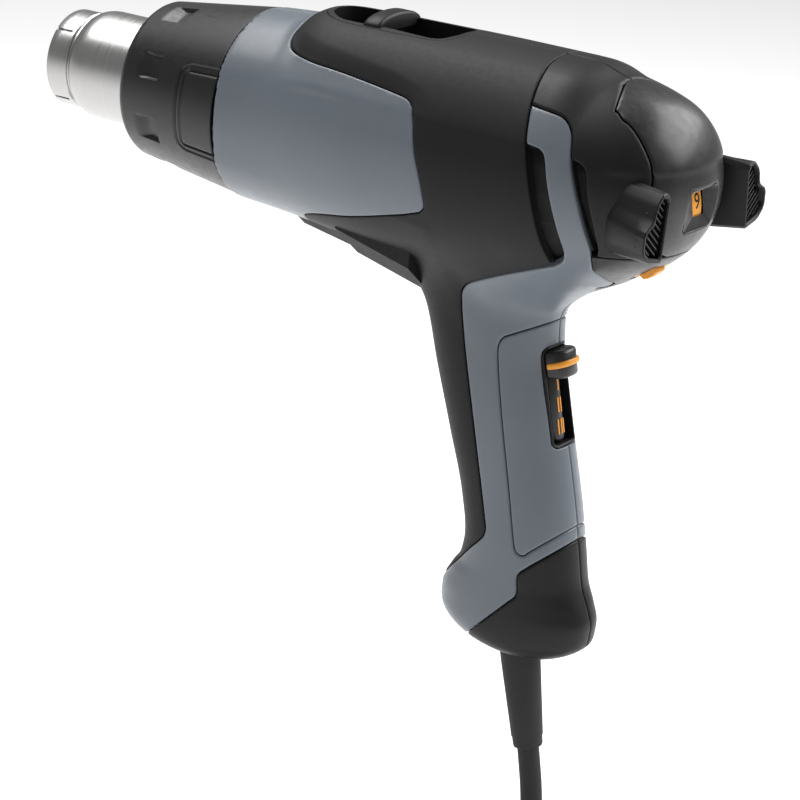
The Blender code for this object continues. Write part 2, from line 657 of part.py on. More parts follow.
# ---------------------------------------------------------------- controls
def make_controls():
    """Circuit board, temperature wheel and its potentiometer."""
    add("control_board", box((0.2080, 0.0130, -0.0130), (0.2380, 0.0144, 0.0150)), BOARD_GREEN)
    add("board_heat_sink", box((0.2090, 0.0147, 0.0020), (0.2190, 0.0190, 0.0140)), STEEL)
    can = rod(0.0040, 0.0147, 0.0215, 16, "y")
    add("board_capacitor", moved(can, (0.2300, 0.0, 0.0070)), DARK_STEEL)
    place = (WHEEL["x"], 0.0, WHEEL["z"])
    r, half, web, bore = WHEEL["r"], WHEEL["half"], WHEEL["web"], POT_SHAFT_R + GAP
    inside = r - WHEEL["rim"]
    section = [(-half, bore), (-half, WHEEL["hub"]), (-web, WHEEL["hub"]), (-web, inside), (-half, inside),
               (-half, r), (half, r), (half, inside), (web, inside), (web, WHEEL["hub"]),
               (half, WHEEL["hub"]), (half, bore)]
    add("temperature_wheel", turned(section, 40, "y"), ORANGE, at=place)
    shaft = rod(POT_SHAFT_R, -0.0085, 0.0080, 12, "y")
    case = rod(0.0058, 0.0072, 0.0127, 20, "y")
    add("temperature_potentiometer", boolean(shaft, case, "UNION"), DARK_STEEL, at=place)


def make_switch():
    """Air switch: bay, track with its step marks, slider with an orange band, and the switch."""
    low, high, half, edge = BAY["low"], BAY["high"], BAY["half"], BAY["wall"]
    liner = raked(box((-BAY["deep"], -half, low), (0.0080, half, high)))
    liner = boolean(liner, body(0.0004), "INTERSECT")
    hollow = raked(box((-BAY["deep"] + edge, -half + edge, low + edge), (0.0120, half - edge, high - edge)))
    add("switch_bay", boolean(liner, hollow), BLACK)
    track = [(-BAY["deep"] + edge + GAP, -0.0034), (-0.0036, -0.0034), (-0.0024, -0.0022), (-0.0021, 0.0),
             (-0.0024, 0.0022), (-0.0036, 0.0034), (-BAY["deep"] + edge + GAP, 0.0034)]
    add("switch_track", raked(prism(track, low + edge + GAP, high - edge - GAP, "z")), BLACK)
    knob = [(-0.0070, -0.0060), (-0.0010, -0.0061), (0.0022, -0.0056), (0.0040, -0.0036), (0.0046, 0.0),
            (0.0040, 0.0036), (0.0022, 0.0056), (-0.0010, 0.0061), (-0.0070, 0.0060), (-0.0070, 0.0040),
            (-0.0016, 0.0040), (-0.0016, -0.0040), (-0.0070, -0.0040)]
    slide = prism(knob, -0.0054, 0.0034, "z")
    outer = [(0.0000, -0.0068), (0.0026, -0.0063), (0.0047, -0.0040), (0.0054, 0.0), (0.0047, 0.0040),
             (0.0026, 0.0063), (0.0000, 0.0068), (0.0000, 0.0055), (0.0018, 0.0050), (0.0034, 0.0032),
             (0.0040, 0.0), (0.0034, -0.0032), (0.0018, -0.0050), (0.0000, -0.0055)]
    band = prism(outer, -0.0022, -0.0008, "z")
    slide = boolean(slide, prism(grown(outer, GAP), -0.0025, -0.0005, "z"))
    add("air_slider", slide, BLACK, at=SLIDER_REST, turn=(0.0, -RAKE, 0.0))
    add("slider_band", band, ORANGE, at=SLIDER_REST, turn=(0.0, -RAKE, 0.0))
    add("slide_switch", raked(box((-0.0210, -0.0065, -0.0220), (-0.0100, 0.0065, -0.0020))), DARK_STEEL)


# ---------------------------------------------------------------- mains cord
def smooth_run(points, step):
    """Even points on a smooth curve through the given ones."""
    ends = [2 * Vector(points[0]) - Vector(points[1]), 2 * Vector(points[-1]) - Vector(points[-2])]
    full = [ends[0]] + [Vector(p) for p in points] + [ends[1]]
    fine = []
    for a, b, c, d in zip(full, full[1:], full[2:], full[3:]):
        for k in range(24):
            t = k / 24
            fine.append(0.5 * (2 * b + (c - a) * t + (2 * a - 5 * b + 4 * c - d) * t * t
                               + (3 * b - a - 3 * c + d) * t ** 3))
    fine.append(Vector(points[-1]))
    lengths = np.concatenate([[0.0], np.cumsum([(q - p).length for p, q in zip(fine, fine[1:])])])
    count = max(int(round(lengths[-1] / step)), 2)
    marks = np.linspace(0.0, lengths[-1], count + 1)
    return [tuple(np.interp(m, lengths, [p[i] for p in fine]) for i in range(3)) for m in marks]


def tube(name, points, radius, mat, step, resolution=2):
    """Round tube along a smooth run, as a curve object."""
    curve = bpy.data.curves.new(name, "CURVE")
    curve.dimensions = "3D"
    curve.bevel_depth = radius
    curve.bevel_resolution = resolution
    curve.use_fill_caps = True
    spline = curve.splines.new("POLY")
    run = smooth_run(points, step)
    spline.points.add(len(run) - 1)
    for slot, place in zip(spline.points, run):
        slot.co = (*place, 1.0)
    curve.materials.append(mat)
    obj = bpy.data.objects.new(name, curve)
    bpy.context.scene.collection.objects.link(obj)
    obj.parent = DATUM
    return obj


def make_cord():
    """Boot, clamp, cord, coil and plug."""
    length = (BOOT_END - BOOT_TOP).length
    boot = [(-length, 0.0), (-length, 0.0050), (-length + 0.0020, 0.0054), (-0.0020, 0.0066), (0.0060, 0.0068),
            (0.0060, 0.0)]
    boot = turned(boot[::-1], 20, "z")
    add("cord_boot", moved(boot, BOOT_TOP, -RAKE), SOFT_BLACK)
    clamp = boolean(box((-0.0090, -0.0100, 0.0085), (0.0090, 0.0100, 0.0120)), rod(0.0042, 0.0, 0.03, 16, "z"))
    add("cord_clamp", moved(clamp, BOOT_TOP, -RAKE), BLACK)
    leads = ((0.1960, 0.0, -0.1440), (0.1930, 0.0, -0.1260), (0.1890, 0.0, -0.1050), (0.1860, 0.0, -0.0860))
    tube("supply_leads", leads, 0.0016, SOFT_BLACK, 0.006, 2)
    tube("power_cord", CORD_ROUTE, CORD_R, CORD_BLACK, 2.2 * CORD_R, 2)
    angles = [math.pi / 4 * k for k in range(8)]
    ring = [(COIL_HALF_HIGH * math.sin(t) * (1.0 if k % 2 == 0 else 1.2),
             COIL_MEAN_R + COIL_HALF_WIDE * math.cos(t) * (1.0 if k % 2 == 0 else 1.2))
            for k, t in enumerate(angles)]
    add("cord_coil", turned(ring[::-1], 24, "z"), CORD_BLACK, at=COIL_CENTRE)
    tube("cord_tail", TAIL_ROUTE, CORD_R, CORD_BLACK, 2.2 * CORD_R, 2)
    sections = ((0.0, 0.0046, 0.0046), (0.0150, 0.0062, 0.0062), (0.0185, 0.0110, 0.0085),
                (0.0260, 0.0165, 0.0116), (0.0480, 0.0172, 0.0122), (0.0530, 0.0172, 0.0122))
    rings = [[(-x, y, z) for y, z in oval(a, b, 2.6, 20)] for x, a, b in sections]
    add("power_plug", loft(rings), SOFT_BLACK, at=PLUG_REAR)
    for number, y in enumerate((-0.0095, 0.0095), 1):
        add(f"plug_pin_{number}", moved(rod(0.0024, -0.0720, -0.0533, 12), (0.0, y, 0.0)), BRASS, at=PLUG_REAR)


# ---------------------------------------------------------------- assembly
clear_scene()
DATUM = bpy.data.objects.new("gun_datum", None)
bpy.context.scene.collection.objects.link(DATUM)
DATUM.location = -GRIP_CENTRE
GREY = finish("blue_grey_plastic", (0.17, 0.20, 0.225), 0.42)
BLACK = finish("black_plastic", (0.022, 0.022, 0.023), 0.50)
HOOD_BLACK = finish("hood_plastic", (0.030, 0.030, 0.032), 0.40)
SOFT_BLACK = finish("soft_rubber", (0.026, 0.026, 0.027), 0.68)
CORD_BLACK = finish("cord_rubber", (0.018, 0.018, 0.018), 0.60)
STEEL = finish("stainless_steel", (0.62, 0.61, 0.60), 0.30, 1.0)
DARK_STEEL = finish("dark_steel", (0.12, 0.12, 0.12), 0.45, 1.0)
ORANGE = finish("orange_plastic", (0.90, 0.36, 0.03), 0.40)
CERAMIC = finish("ceramic", (0.80, 0.76, 0.68), 0.80)
MICA = finish("mica", (0.62, 0.55, 0.42), 0.45)
BOARD_GREEN = finish("board_green", (0.03, 0.20, 0.09), 0.45)
BRASS = finish("brass_pins", (0.72, 0.55, 0.28), 0.30, 1.0)
WELLS = screw_tools(WELL_R, SCREW_SEAT, FAR, 14)
make_covers()
make_housing()
make_screws()
make_recess()
make_screens()
make_feet()
make_nozzle()
make_sleeve()
make_element()
make_blower()
make_controls()
make_switch()
make_cord()
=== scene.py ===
"""Visual model of the heat gun, in metres, in the frame of its CAD row.

Shapes are worked out in millimetres along the gun: x runs back from the nozzle's mouth, z up from
the barrel's axis, and the gun's left side is -y. `world` moves them to the shared frame.
"""
import enum
import logging
import math
from collections.abc import Callable, Sequence
from dataclasses import dataclass, replace

import bmesh
import bpy
import numpy as np
from mathutils import Matrix, Vector

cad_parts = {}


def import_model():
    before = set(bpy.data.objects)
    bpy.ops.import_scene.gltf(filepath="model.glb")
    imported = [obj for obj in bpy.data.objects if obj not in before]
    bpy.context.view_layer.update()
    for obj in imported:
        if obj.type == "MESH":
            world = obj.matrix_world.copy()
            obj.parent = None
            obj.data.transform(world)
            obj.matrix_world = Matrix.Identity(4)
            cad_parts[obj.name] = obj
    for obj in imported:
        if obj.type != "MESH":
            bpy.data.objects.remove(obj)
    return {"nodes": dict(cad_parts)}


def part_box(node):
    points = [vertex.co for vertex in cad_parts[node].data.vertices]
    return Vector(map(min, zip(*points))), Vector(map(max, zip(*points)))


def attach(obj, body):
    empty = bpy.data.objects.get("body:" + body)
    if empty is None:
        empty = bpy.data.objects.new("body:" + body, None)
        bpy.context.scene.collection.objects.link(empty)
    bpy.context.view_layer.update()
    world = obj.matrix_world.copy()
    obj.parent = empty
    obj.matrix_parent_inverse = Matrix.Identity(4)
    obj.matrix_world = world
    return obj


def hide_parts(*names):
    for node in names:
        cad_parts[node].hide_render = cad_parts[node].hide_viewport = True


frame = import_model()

log = logging.getLogger("heat_gun")

Array = np.ndarray
Pair = tuple[float, float]
Point = tuple[float, float, float]
Field = Callable[[Array], Array]
Shape = tuple[Array, list[tuple[int, ...]]]
Body = bpy.types.Object
Tree = bpy.types.NodeTree
Socket = bpy.types.NodeSocket

MM = 0.001
AXIS_HEIGHT = 0.095
DATUM = np.array((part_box("nozzle_tip")[0].x, 0.0, AXIS_HEIGHT))
SHARP = math.radians(38)
REAR = np.array((1.0, 0.0, 0.0))
UP = np.array((0.0, 0.0, 1.0))
QUARTER = math.pi / 2


class Side(enum.IntEnum):
    """The gun's two sides, as the sign of y."""

    LEFT = -1
    RIGHT = 1

    @property
    def word(self) -> str:
        """The side's name in the CAD."""
        return self.name.lower()


def put(name: str, data: bpy.types.ID) -> Body:
    """Puts an object with its data in the scene."""
    obj = bpy.data.objects.new(name, data)
    bpy.context.scene.collection.objects.link(obj)
    return obj


def add_node(tree: Tree, kind: str, values: dict[str, object] | None = None,
             links: dict[str, Socket] | None = None) -> bpy.types.Node:
    """Adds a node to a tree.

    Args:
        tree: the tree.
        kind: the node's type.
        values: what its sockets are set to.
        links: the outputs that feed its sockets.

    Returns:
        The node.
    """
    made = tree.nodes.new(kind)
    for name, value in (values or {}).items():
        made.inputs[name].default_value = value
    for name, source in (links or {}).items():
        tree.links.new(source, made.inputs[name])
    return made


# ------------------------------------------------------------------ finishes
@dataclass(frozen=True)
class Finish:
    """One surface finish, made once as a procedural material.

    Lengths are metres; `grain` is the bump's depth and `fine` the grains per metre.
    """

    name: str
    color: Point
    rough: float
    metal: float = 0.0
    coat: float = 0.0
    grain: float = 0.0
    fine: float = 900.0
    spread: float = 0.05
    stretch: Point = (1.0, 1.0, 1.0)
    wear: float = 0.06
    glow: float = 0.0
    shine: float = 0.5

    def material(self) -> bpy.types.Material:
        """Returns the finish's material, made the first time it is asked for.

        Returns:
            The material with its node tree.
        """
        found = bpy.data.materials.get(self.name)
        if found:
            return found
        mat = bpy.data.materials.new(self.name)
        mat.use_nodes = True
        mat.diffuse_color = (*self.color, 1.0)
        tree = mat.node_tree
        shader = tree.nodes["Principled BSDF"]
        for socket, value in (("Metallic", self.metal), ("Coat Weight", self.coat), ("Coat Roughness", 0.15),
                              ("Specular IOR Level", self.shine), ("Emission Color", (1.0, 1.0, 1.0, 1.0)),
                              ("Emission Strength", self.glow)):
            shader.inputs[socket].default_value = value
        own = tree.nodes.new("ShaderNodeTexCoord").outputs["Object"]
        scaled = add_node(tree, "ShaderNodeMapping", {"Scale": self.stretch}, {"Vector": own})
        drawn = scaled.outputs["Vector"]
        made = {"Roughness": self._rough(tree, drawn), "Base Color": self._tint(tree, own)}
        if self.grain:
            made["Normal"] = self._bump(tree, drawn)
        for socket, source in made.items():
            tree.links.new(source, shader.inputs[socket])
        return mat

    def _noise(self, tree: Tree, vector: Socket, scale: float) -> Socket:
        """A noise texture's output, with `scale` grains per metre of the vector."""
        noise = add_node(tree, "ShaderNodeTexNoise", {"Scale": scale, "Detail": 3.0}, {"Vector": vector})
        return noise.outputs["Fac"]

    def _rough(self, tree: Tree, vector: Socket) -> Socket:
        """The roughness, varied a little over the surface."""
        low, high = max(self.rough - self.spread, 0.02), min(self.rough + self.spread, 1.0)
        limits = {"From Min": 0.3, "From Max": 0.7, "To Min": low, "To Max": high}
        noise = self._noise(tree, vector, self.fine / 4)
        return add_node(tree, "ShaderNodeMapRange", limits, {"Value": noise}).outputs["Result"]

    def _tint(self, tree: Tree, vector: Socket) -> Socket:
        """The colour, its brightness varied a little over the surface."""
        ramp = add_node(tree, "ShaderNodeValToRGB", links={"Fac": self._noise(tree, vector, 24.0)})
        gains = (1 - self.wear, 1 + self.wear)
        for element, at, gain in zip(ramp.color_ramp.elements, (0.3, 0.7), gains):
            element.position = at
            element.color = (*(min(c * gain, 1.0) for c in self.color), 1.0)
        return ramp.outputs["Color"]

    def _bump(self, tree: Tree, vector: Socket) -> Socket:
        """The moulded or turned grain."""
        height = self._noise(tree, vector, self.fine)
        bump = add_node(tree, "ShaderNodeBump", {"Distance": self.grain, "Strength": 0.6}, {"Height": height})
        return bump.outputs["Normal"]


GREY = Finish("grey_satin_plastic", (0.150, 0.172, 0.200), 0.36, coat=0.10, grain=0.00001, fine=1400)
BLACK = Finish("black_moulded_plastic", (0.0070, 0.0071, 0.0074), 0.46, grain=0.00001, fine=1800, spread=0.03,
               shine=0.32)
SOFT = Finish("black_soft_rubber", (0.0085, 0.0085, 0.0088), 0.56, grain=0.00001, fine=2200, spread=0.02,
              wear=0.03, shine=0.30)
HOOD = Finish("black_satin_plastic", (0.0085, 0.0087, 0.0092), 0.38, coat=0.10, grain=0.00001, fine=1600)
DARK = Finish("deep_black_plastic", (0.0040, 0.0040, 0.0042), 0.75)
CORD = Finish("cord_rubber", (0.0080, 0.0080, 0.0084), 0.52, grain=0.00001, fine=1200, shine=0.32)
ORANGE = Finish("orange_plastic", (0.86, 0.300, 0.016), 0.38, coat=0.1, wear=0.03)
STEEL = Finish("turned_steel", (0.50, 0.495, 0.49), 0.30, metal=1.0, grain=0.000003, fine=60,
               stretch=(90.0, 1.0, 1.0), spread=0.04, wear=0.02)
SCREW_STEEL = Finish("blackened_steel", (0.055, 0.055, 0.058), 0.42, metal=1.0)
BRASS = Finish("brass", (0.78, 0.58, 0.26), 0.28, metal=1.0)
CERAMIC = Finish("ceramic", (0.72, 0.69, 0.62), 0.7, grain=0.00005, fine=700)
WIRE = Finish("resistance_wire", (0.32, 0.28, 0.25), 0.4, metal=1.0)
MICA = Finish("mica", (0.42, 0.36, 0.25), 0.35, coat=0.3)
BOARD = Finish("board_green", (0.02, 0.11, 0.045), 0.45, coat=0.2)
COPPER = Finish("copper", (0.80, 0.42, 0.26), 0.35, metal=1.0)
ALUMINIUM = Finish("aluminium", (0.68, 0.69, 0.70), 0.35, metal=1.0)
FLOOR = Finish("studio_floor", (0.90, 0.90, 0.90), 0.9, wear=0.0, glow=0.40)


# ------------------------------------------------------------------ the gun's outer form
def spline(knots: Sequence[Pair]) -> Callable[[Array], Array]:
    """Makes a smooth monotone curve through knots.

    Args:
        knots: (argument, value), with rising arguments.

    Returns:
        A function of an array of arguments, held at its end values outside the knots.
    """
    xs, ys = (np.array(v, float) for v in zip(*knots))
    h = np.diff(xs)
    s = np.diff(ys) / h
    m = np.concatenate(([s[0]], np.zeros(len(s) - 1), [s[-1]]))
    for i in range(1, len(s)):
        if s[i - 1] * s[i] > 0:
            m[i] = 2 * s[i - 1] * s[i] / (s[i - 1] + s[i])

    def curve(x: Array) -> Array:
        """The curve's value at x."""
        x = np.clip(x, xs[0], xs[-1])
        i = np.clip(np.searchsorted(xs, x) - 1, 0, len(xs) - 2)
        t = (x - xs[i]) / h[i]
        hermite = (1 + 2 * t) * (1 - t) ** 2 * ys[i] + t * (1 - t) ** 2 * h[i] * m[i]
        return hermite + t * t * (3 - 2 * t) * ys[i + 1] + t * t * (t - 1) * h[i] * m[i + 1]

    return curve


def join(a: Array, b: Array, blend: float) -> Array:
    """The union of two fields, filleted over `blend` millimetres."""
    h = np.maximum(blend - np.abs(a - b), 0) / blend
    return np.minimum(a, b) - h * h * blend / 4


def meet(a: Array, b: Array, blend: float) -> Array:
    """The common part of two fields, rounded over `blend` millimetres."""
    return -join(-a, -b, blend)


def ease(x: Array, low: float, high: float) -> Array:
    """A smooth step from 0 at low to 1 at high."""
    t = np.clip((x - low) / (high - low), 0, 1)
    return t * t * (3 - 2 * t)


BARREL_TOP = spline(((60, 31), (83, 32.6), (105, 34.2), (125, 35.6), (150, 36.6), (175, 37.2), (200, 37.3),
                     (212, 36.6), (224, 34.6), (235, 31.4), (243, 27.6), (248, 23), (252, 17)))
BARREL_LOW = spline(((60, -31), (83, -32.6), (105, -34), (125, -36), (150, -37.6), (175, -38), (200, -36),
                     (215, -32.8), (228, -28.3), (240, -23), (248, -18), (251, -12)))
BARREL_HALF = spline(((60, 31), (83, 32.6), (105, 33.6), (125, 34.8), (150, 36.2), (175, 37.2), (200, 37.2),
                      (215, 36), (228, 33.5), (240, 29.5), (248, 25.5), (251, 20)))
HANDLE_FRONT = spline(((-170, 182), (-162, 173.2), (-155, 172), (-145, 172.3), (-139, 175), (-133, 178.6),
                       (-126, 179.6), (-112, 177), (-90, 169.5), (-70, 162.5), (-53, 157.2), (-42, 152),
                       (-30, 147)))
HANDLE_REAR = spline(((-170, 208), (-163, 221), (-156, 227), (-150, 227.6), (-144, 225.8), (-137, 222.8),
                      (-126, 220.6), (-111, 217.6), (-84, 211), (-56, 204.8), (-46, 204.4), (-38, 207.5),
                      (-30, 214)))
HANDLE_HALF = spline(((-170, 13), (-160, 17.8), (-150, 18.4), (-130, 17.6), (-100, 17), (-70, 16.6), (-45, 17),
                      (-30, 19)))
BARREL_FRONT = 83.4
BARREL_POWER = 2.12
HANDLE_POWER = 2.35
DOME_REAR = 252.5


def barrel(x: Array, y: Array, z: Array) -> Array:
    """The barrel and its domed rear.

    Args:
        x, y, z: millimetres back, across and up.

    Returns:
        Millimetres, negative inside.
    """
    top, low, half = BARREL_TOP(x), BARREL_LOW(x), BARREL_HALF(x)
    tall = (top - low) / 2
    q = np.abs(y / half) ** BARREL_POWER + np.abs((z - (top + low) / 2) / tall) ** BARREL_POWER
    side = (q ** (1 / BARREL_POWER) - 1) * np.minimum(half, tall)
    rear = x - DOME_REAR + 0.006 * (y * y + (z - 4) ** 2)
    return meet(meet(side, rear, 14), BARREL_FRONT - x, 0.6)


def pod(x: Array, y: Array, z: Array) -> Array:
    """The raised pod on the barrel's top, around the hanging recess.

    Args:
        x, y, z: millimetres back, across and up.

    Returns:
        Millimetres, negative inside.
    """
    slope = (40 - z) * 0.55
    side = np.abs(y) - 19 - slope
    front = 107 + 0.012 * y * y - slope - x
    top = z - 38.2 + 0.010 * y * y + np.maximum(x - 175, 0) * 0.012
    return meet(meet(meet(meet(side, front, 16), top, 6), x - 215, 10), 18 - z, 2)


def keel(x: Array, y: Array, z: Array) -> Array:
    """The keel under the barrel, in front of the handle.

    Args:
        x, y, z: millimetres back, across and up.

    Returns:
        Millimetres, negative inside.
    """
    low = np.where(x < 127.5, -36.6 - (x - 103) * 0.17, -41.6 - (x - 127.5) * 0.24)
    wedge = meet(np.abs(y) * 0.9 - (z - low) * 0.75 - 3, low - z, 8)
    return meet(meet(meet(wedge, 103 - x - 0.3 * (z + 38), 2), x - 170, 5), z + 20, 2) * 0.8


def handle(x: Array, y: Array, z: Array) -> Array:
    """The raked handle down to its base.

    Args:
        x, y, z: millimetres back, across and up.

    Returns:
        Millimetres, negative inside.
    """
    front, rear = HANDLE_FRONT(z), HANDLE_REAR(z)
    reach = (rear - front) / 2
    u = (x - (rear + front) / 2) / reach
    half = HANDLE_HALF(z) * (1 - 0.10 * np.clip(u, -1, 1) - 0.04 * u * u)
    q = np.abs(u) ** HANDLE_POWER + np.abs(y / half) ** HANDLE_POWER
    side = (q ** (1 / HANDLE_POWER) - 1) * HANDLE_HALF(z)
    foot = -165.2 + 0.0075 * (x - 208) ** 2 + 0.012 * y * y - z
    return meet(meet(side, foot, 7), z + 12, 2)


def relief(x: Array, y: Array, z: Array) -> Array:
    """Shallow moulded steps.

    Args:
        x, y, z: millimetres back, across and up.

    Returns:
        The depth that they lie below the plain form.
    """
    dome = 0.6 * ease(x, 226, 236) * ease(-z, -14.2, -11.0)
    upper, lower = 15.6 + (x - 83) * 0.055, -16.4 - (x - 83) * 0.02
    facet = 0.07 * (1 - ease(x, 88, 121)) * np.clip(np.minimum(upper - z, z - lower), 0, 7)
    below = 31.5 - (x - 113) * 0.10 - np.maximum(x - 150, 0) * 0.12 - z
    reach = ease(x, 104, 112) * (1 - ease(x, 150, 172))
    crease = 0.16 * np.clip(below, 0, 5) * (1 - ease(below, 5, 20)) * reach
    return dome + facet * (np.abs(y) > 20) + crease


def form(x: Array, y: Array, z: Array) -> Array:
    """The gun's whole outer form.

    Args:
        x, y, z: millimetres back, across and up.

    Returns:
        About the distance to the surface, negative inside.
    """
    shell = join(join(barrel(x, y, z), pod(x, y, z), 5), keel(x, y, z), 4)
    shell = join(shell, handle(x, y, z), 6 + 9 * np.clip((x - 158) / 30, 0, 1))
    return shell + relief(x, y, z)


def slope(points: Array, step: float = 0.05) -> Array:
    """The form's gradient at points.

    Args:
        points: (n, 3) millimetres.
        step: half the width of the central difference.

    Returns:
        (n, 3) gradients, outward.
    """
    out = np.zeros_like(points)
    for axis in range(3):
        shift = np.zeros(3)
        shift[axis] = step
        out[:, axis] = (form(*(points + shift).T) - form(*(points - shift).T)) / (2 * step)
    return out


def settle(points: Array, rounds: int = 3) -> Array:
    """Moves points along the gradient onto the form's surface.

    Args:
        points: (n, 3) millimetres, near the surface.
        rounds: Newton steps.

    Returns:
        The moved points.
    """
    for _ in range(rounds):
        grad = slope(points)
        length = np.maximum((grad * grad).sum(1), 1e-9)
        points = points - grad * (form(*points.T) / length * 0.9)[:, None]
    return points


# ------------------------------------------------------------------ meshes cut from the form
@dataclass
class Sheet:
    """A triangulated stretch of the form's surface: points in millimetres and triangles."""

    points: Array
    tris: Array

    def compact(self) -> "Sheet":
        """Drops points that no triangle uses."""
        used, index = np.unique(self.tris, return_inverse=True)
        return Sheet(self.points[used], index.reshape(-1, 3))

    def split(self, distance: Field, level: float, keep_inside: bool) -> "Sheet":
        """Cuts the triangles along a level of a field.

        Args:
            distance: the field, of (n, 3) points.
            level: the value to cut at.
            keep_inside: drop everything above the level.

        Returns:
            The cut sheet, whose new points lie on the form.
        """
        d = distance(self.points) - level
        d[np.abs(d) < 0.04] = 0
        if keep_inside and len(d) and d.min() > 0:
            return Sheet(self.points[:0], self.tris[:0])
        tris = self.tris
        if keep_inside:
            tris = tris[(d[tris] < 0).any(1)]
        s = np.sign(d)
        ends = np.sort(np.concatenate([tris[:, [0, 1]], tris[:, [1, 2]], tris[:, [2, 0]]]), axis=1)
        crossed = s[ends[:, 0]] * s[ends[:, 1]] < 0
        unique, inverse = np.unique(ends[crossed], axis=0, return_inverse=True)
        mid = np.full(len(ends), -1)
        mid[crossed] = len(self.points) + inverse.reshape(-1)
        mid = mid.reshape(3, -1).T
        d0, d1 = d[unique[:, 0]], d[unique[:, 1]]
        t = (d0 / np.where(d0 == d1, 1, d0 - d1))[:, None]
        fresh = self.points[unique[:, 0]] * (1 - t) + self.points[unique[:, 1]] * t
        points = np.concatenate([self.points, settle(fresh, 1) if len(fresh) else fresh])
        s = np.concatenate([s, np.zeros(len(fresh))])
        count = (mid >= 0).sum(1)
        parts = [tris[count == 0]]
        for k in range(3):
            a, b, c = tris[:, k], tris[:, (k + 1) % 3], tris[:, (k + 2) % 3]
            ab, bc, ca = mid[:, k], mid[:, (k + 1) % 3], mid[:, (k + 2) % 3]
            one = (count == 1) & (bc >= 0)
            parts += [np.stack([a, b, bc], 1)[one], np.stack([a, bc, c], 1)[one]]
            two = (count == 2) & (bc < 0)
            parts += [np.stack([a, ab, ca], 1)[two], np.stack([ab, b, c], 1)[two],
                      np.stack([ab, c, ca], 1)[two]]
        tris = np.concatenate(parts)
        if keep_inside:
            tris = tris[(s[tris] <= 0).all(1) & (s[tris] < 0).any(1)]
        return Sheet(points, tris).compact()


def surface_net(low: Point, high: Point, cell: float) -> Sheet:
    """Triangulates the form's surface inside a box.

    Args:
        low: the box's lowest corner.
        high: its highest corner.
        cell: the grid's step.

    Returns:
        The surface, settled onto the form.
    """
    axes = [np.arange(a, b + cell, cell) for a, b in zip(low, high)]
    grid = np.stack(np.meshgrid(*axes, indexing="ij"), -1)
    value = form(grid[..., 0], grid[..., 1], grid[..., 2])
    inside = value < 0
    size = [n - 1 for n in value.shape]
    total, count = np.zeros((*size, 3)), np.zeros(size)
    for a in range(3):
        v0 = value[tuple(slice(0, -1) if i == a else slice(None) for i in range(3))]
        v1 = value[tuple(slice(1, None) if i == a else slice(None) for i in range(3))]
        p0 = grid[tuple(slice(0, -1) if i == a else slice(None) for i in range(3))]
        crossed = (v0 < 0) != (v1 < 0)
        t = np.where(crossed, v0 / np.where(crossed, v0 - v1, 1), 0)
        p = p0.copy()
        p[..., a] += t * cell
        b, c = (i for i in range(3) if i != a)
        for db in (0, 1):
            for dc in (0, 1):
                cut = [slice(None)] * 3
                cut[b] = slice(db, crossed.shape[b] - 1 + db)
                cut[c] = slice(dc, crossed.shape[c] - 1 + dc)
                total += np.where(crossed[tuple(cut)][..., None], p[tuple(cut)], 0)
                count += crossed[tuple(cut)]
    active = count > 0
    index = np.full(active.shape, -1)
    index[active] = np.arange(active.sum())
    points = total[active] / count[active][:, None]
    quads = [_net_quads(inside, index, a) for a in range(3)]
    quads = np.concatenate(quads)
    tris = np.concatenate([quads[:, [0, 1, 2]], quads[:, [0, 2, 3]]])
    return Sheet(settle(points, 4), tris).compact()


def _net_quads(inside: Array, index: Array, a: int) -> Array:
    """The net's quads across the grid edges that run along one axis.

    Args:
        inside: whether each grid point is inside.
        index: each cell's point, or -1.
        a: the axis.

    Returns:
        (n, 4) point numbers, wound outward.
    """
    low = [slice(1, -1)] * 3
    high = [slice(1, -1)] * 3
    low[a], high[a] = slice(0, -1), slice(1, None)
    near = inside[tuple(low)]
    base = np.argwhere(near != inside[tuple(high)])
    out = near[tuple(base.T)]
    b, c = (a + 1) % 3, (a + 2) % 3
    base[:, [b, c]] += 1
    corners = []
    for db, dc in ((-1, -1), (0, -1), (0, 0), (-1, 0)):
        cell = base.copy()
        cell[:, b] += db
        cell[:, c] += dc
        corners.append(index[tuple(cell.T)])
    quads = np.stack(corners, 1)
    quads[~out] = quads[~out][:, ::-1]
    return quads


def smooth_line(points: Sequence[Pair], step: int = 5) -> list[Pair]:
    """A smooth line through points.

    Args:
        points: the line's (x, z) corners, in metres.
        step: pieces between two of them.

    Returns:
        The finer line, in millimetres.
    """
    p = np.array(points) / MM
    p = np.vstack([2 * p[0] - p[1], p, 2 * p[-1] - p[-2]])
    heading = p[2:] - p[:-2]
    heading /= np.linalg.norm(heading, axis=1)[:, None]
    out = []
    for i in range(1, len(p) - 2):
        length = np.linalg.norm(p[i + 1] - p[i])
        for t in np.arange(step) / step:
            v = (1 + 2 * t) * (1 - t) ** 2 * p[i] + t * t * (3 - 2 * t) * p[i + 1]
            v = v + t * (1 - t) * length * ((1 - t) * heading[i - 1] - t * heading[i])
            out.append(tuple(v))
    return [*out, tuple(p[-2])]


def back(points: Sequence[Pair]) -> tuple[Pair, ...]:
    """The same run of points the other way round."""
    return tuple(reversed(points))


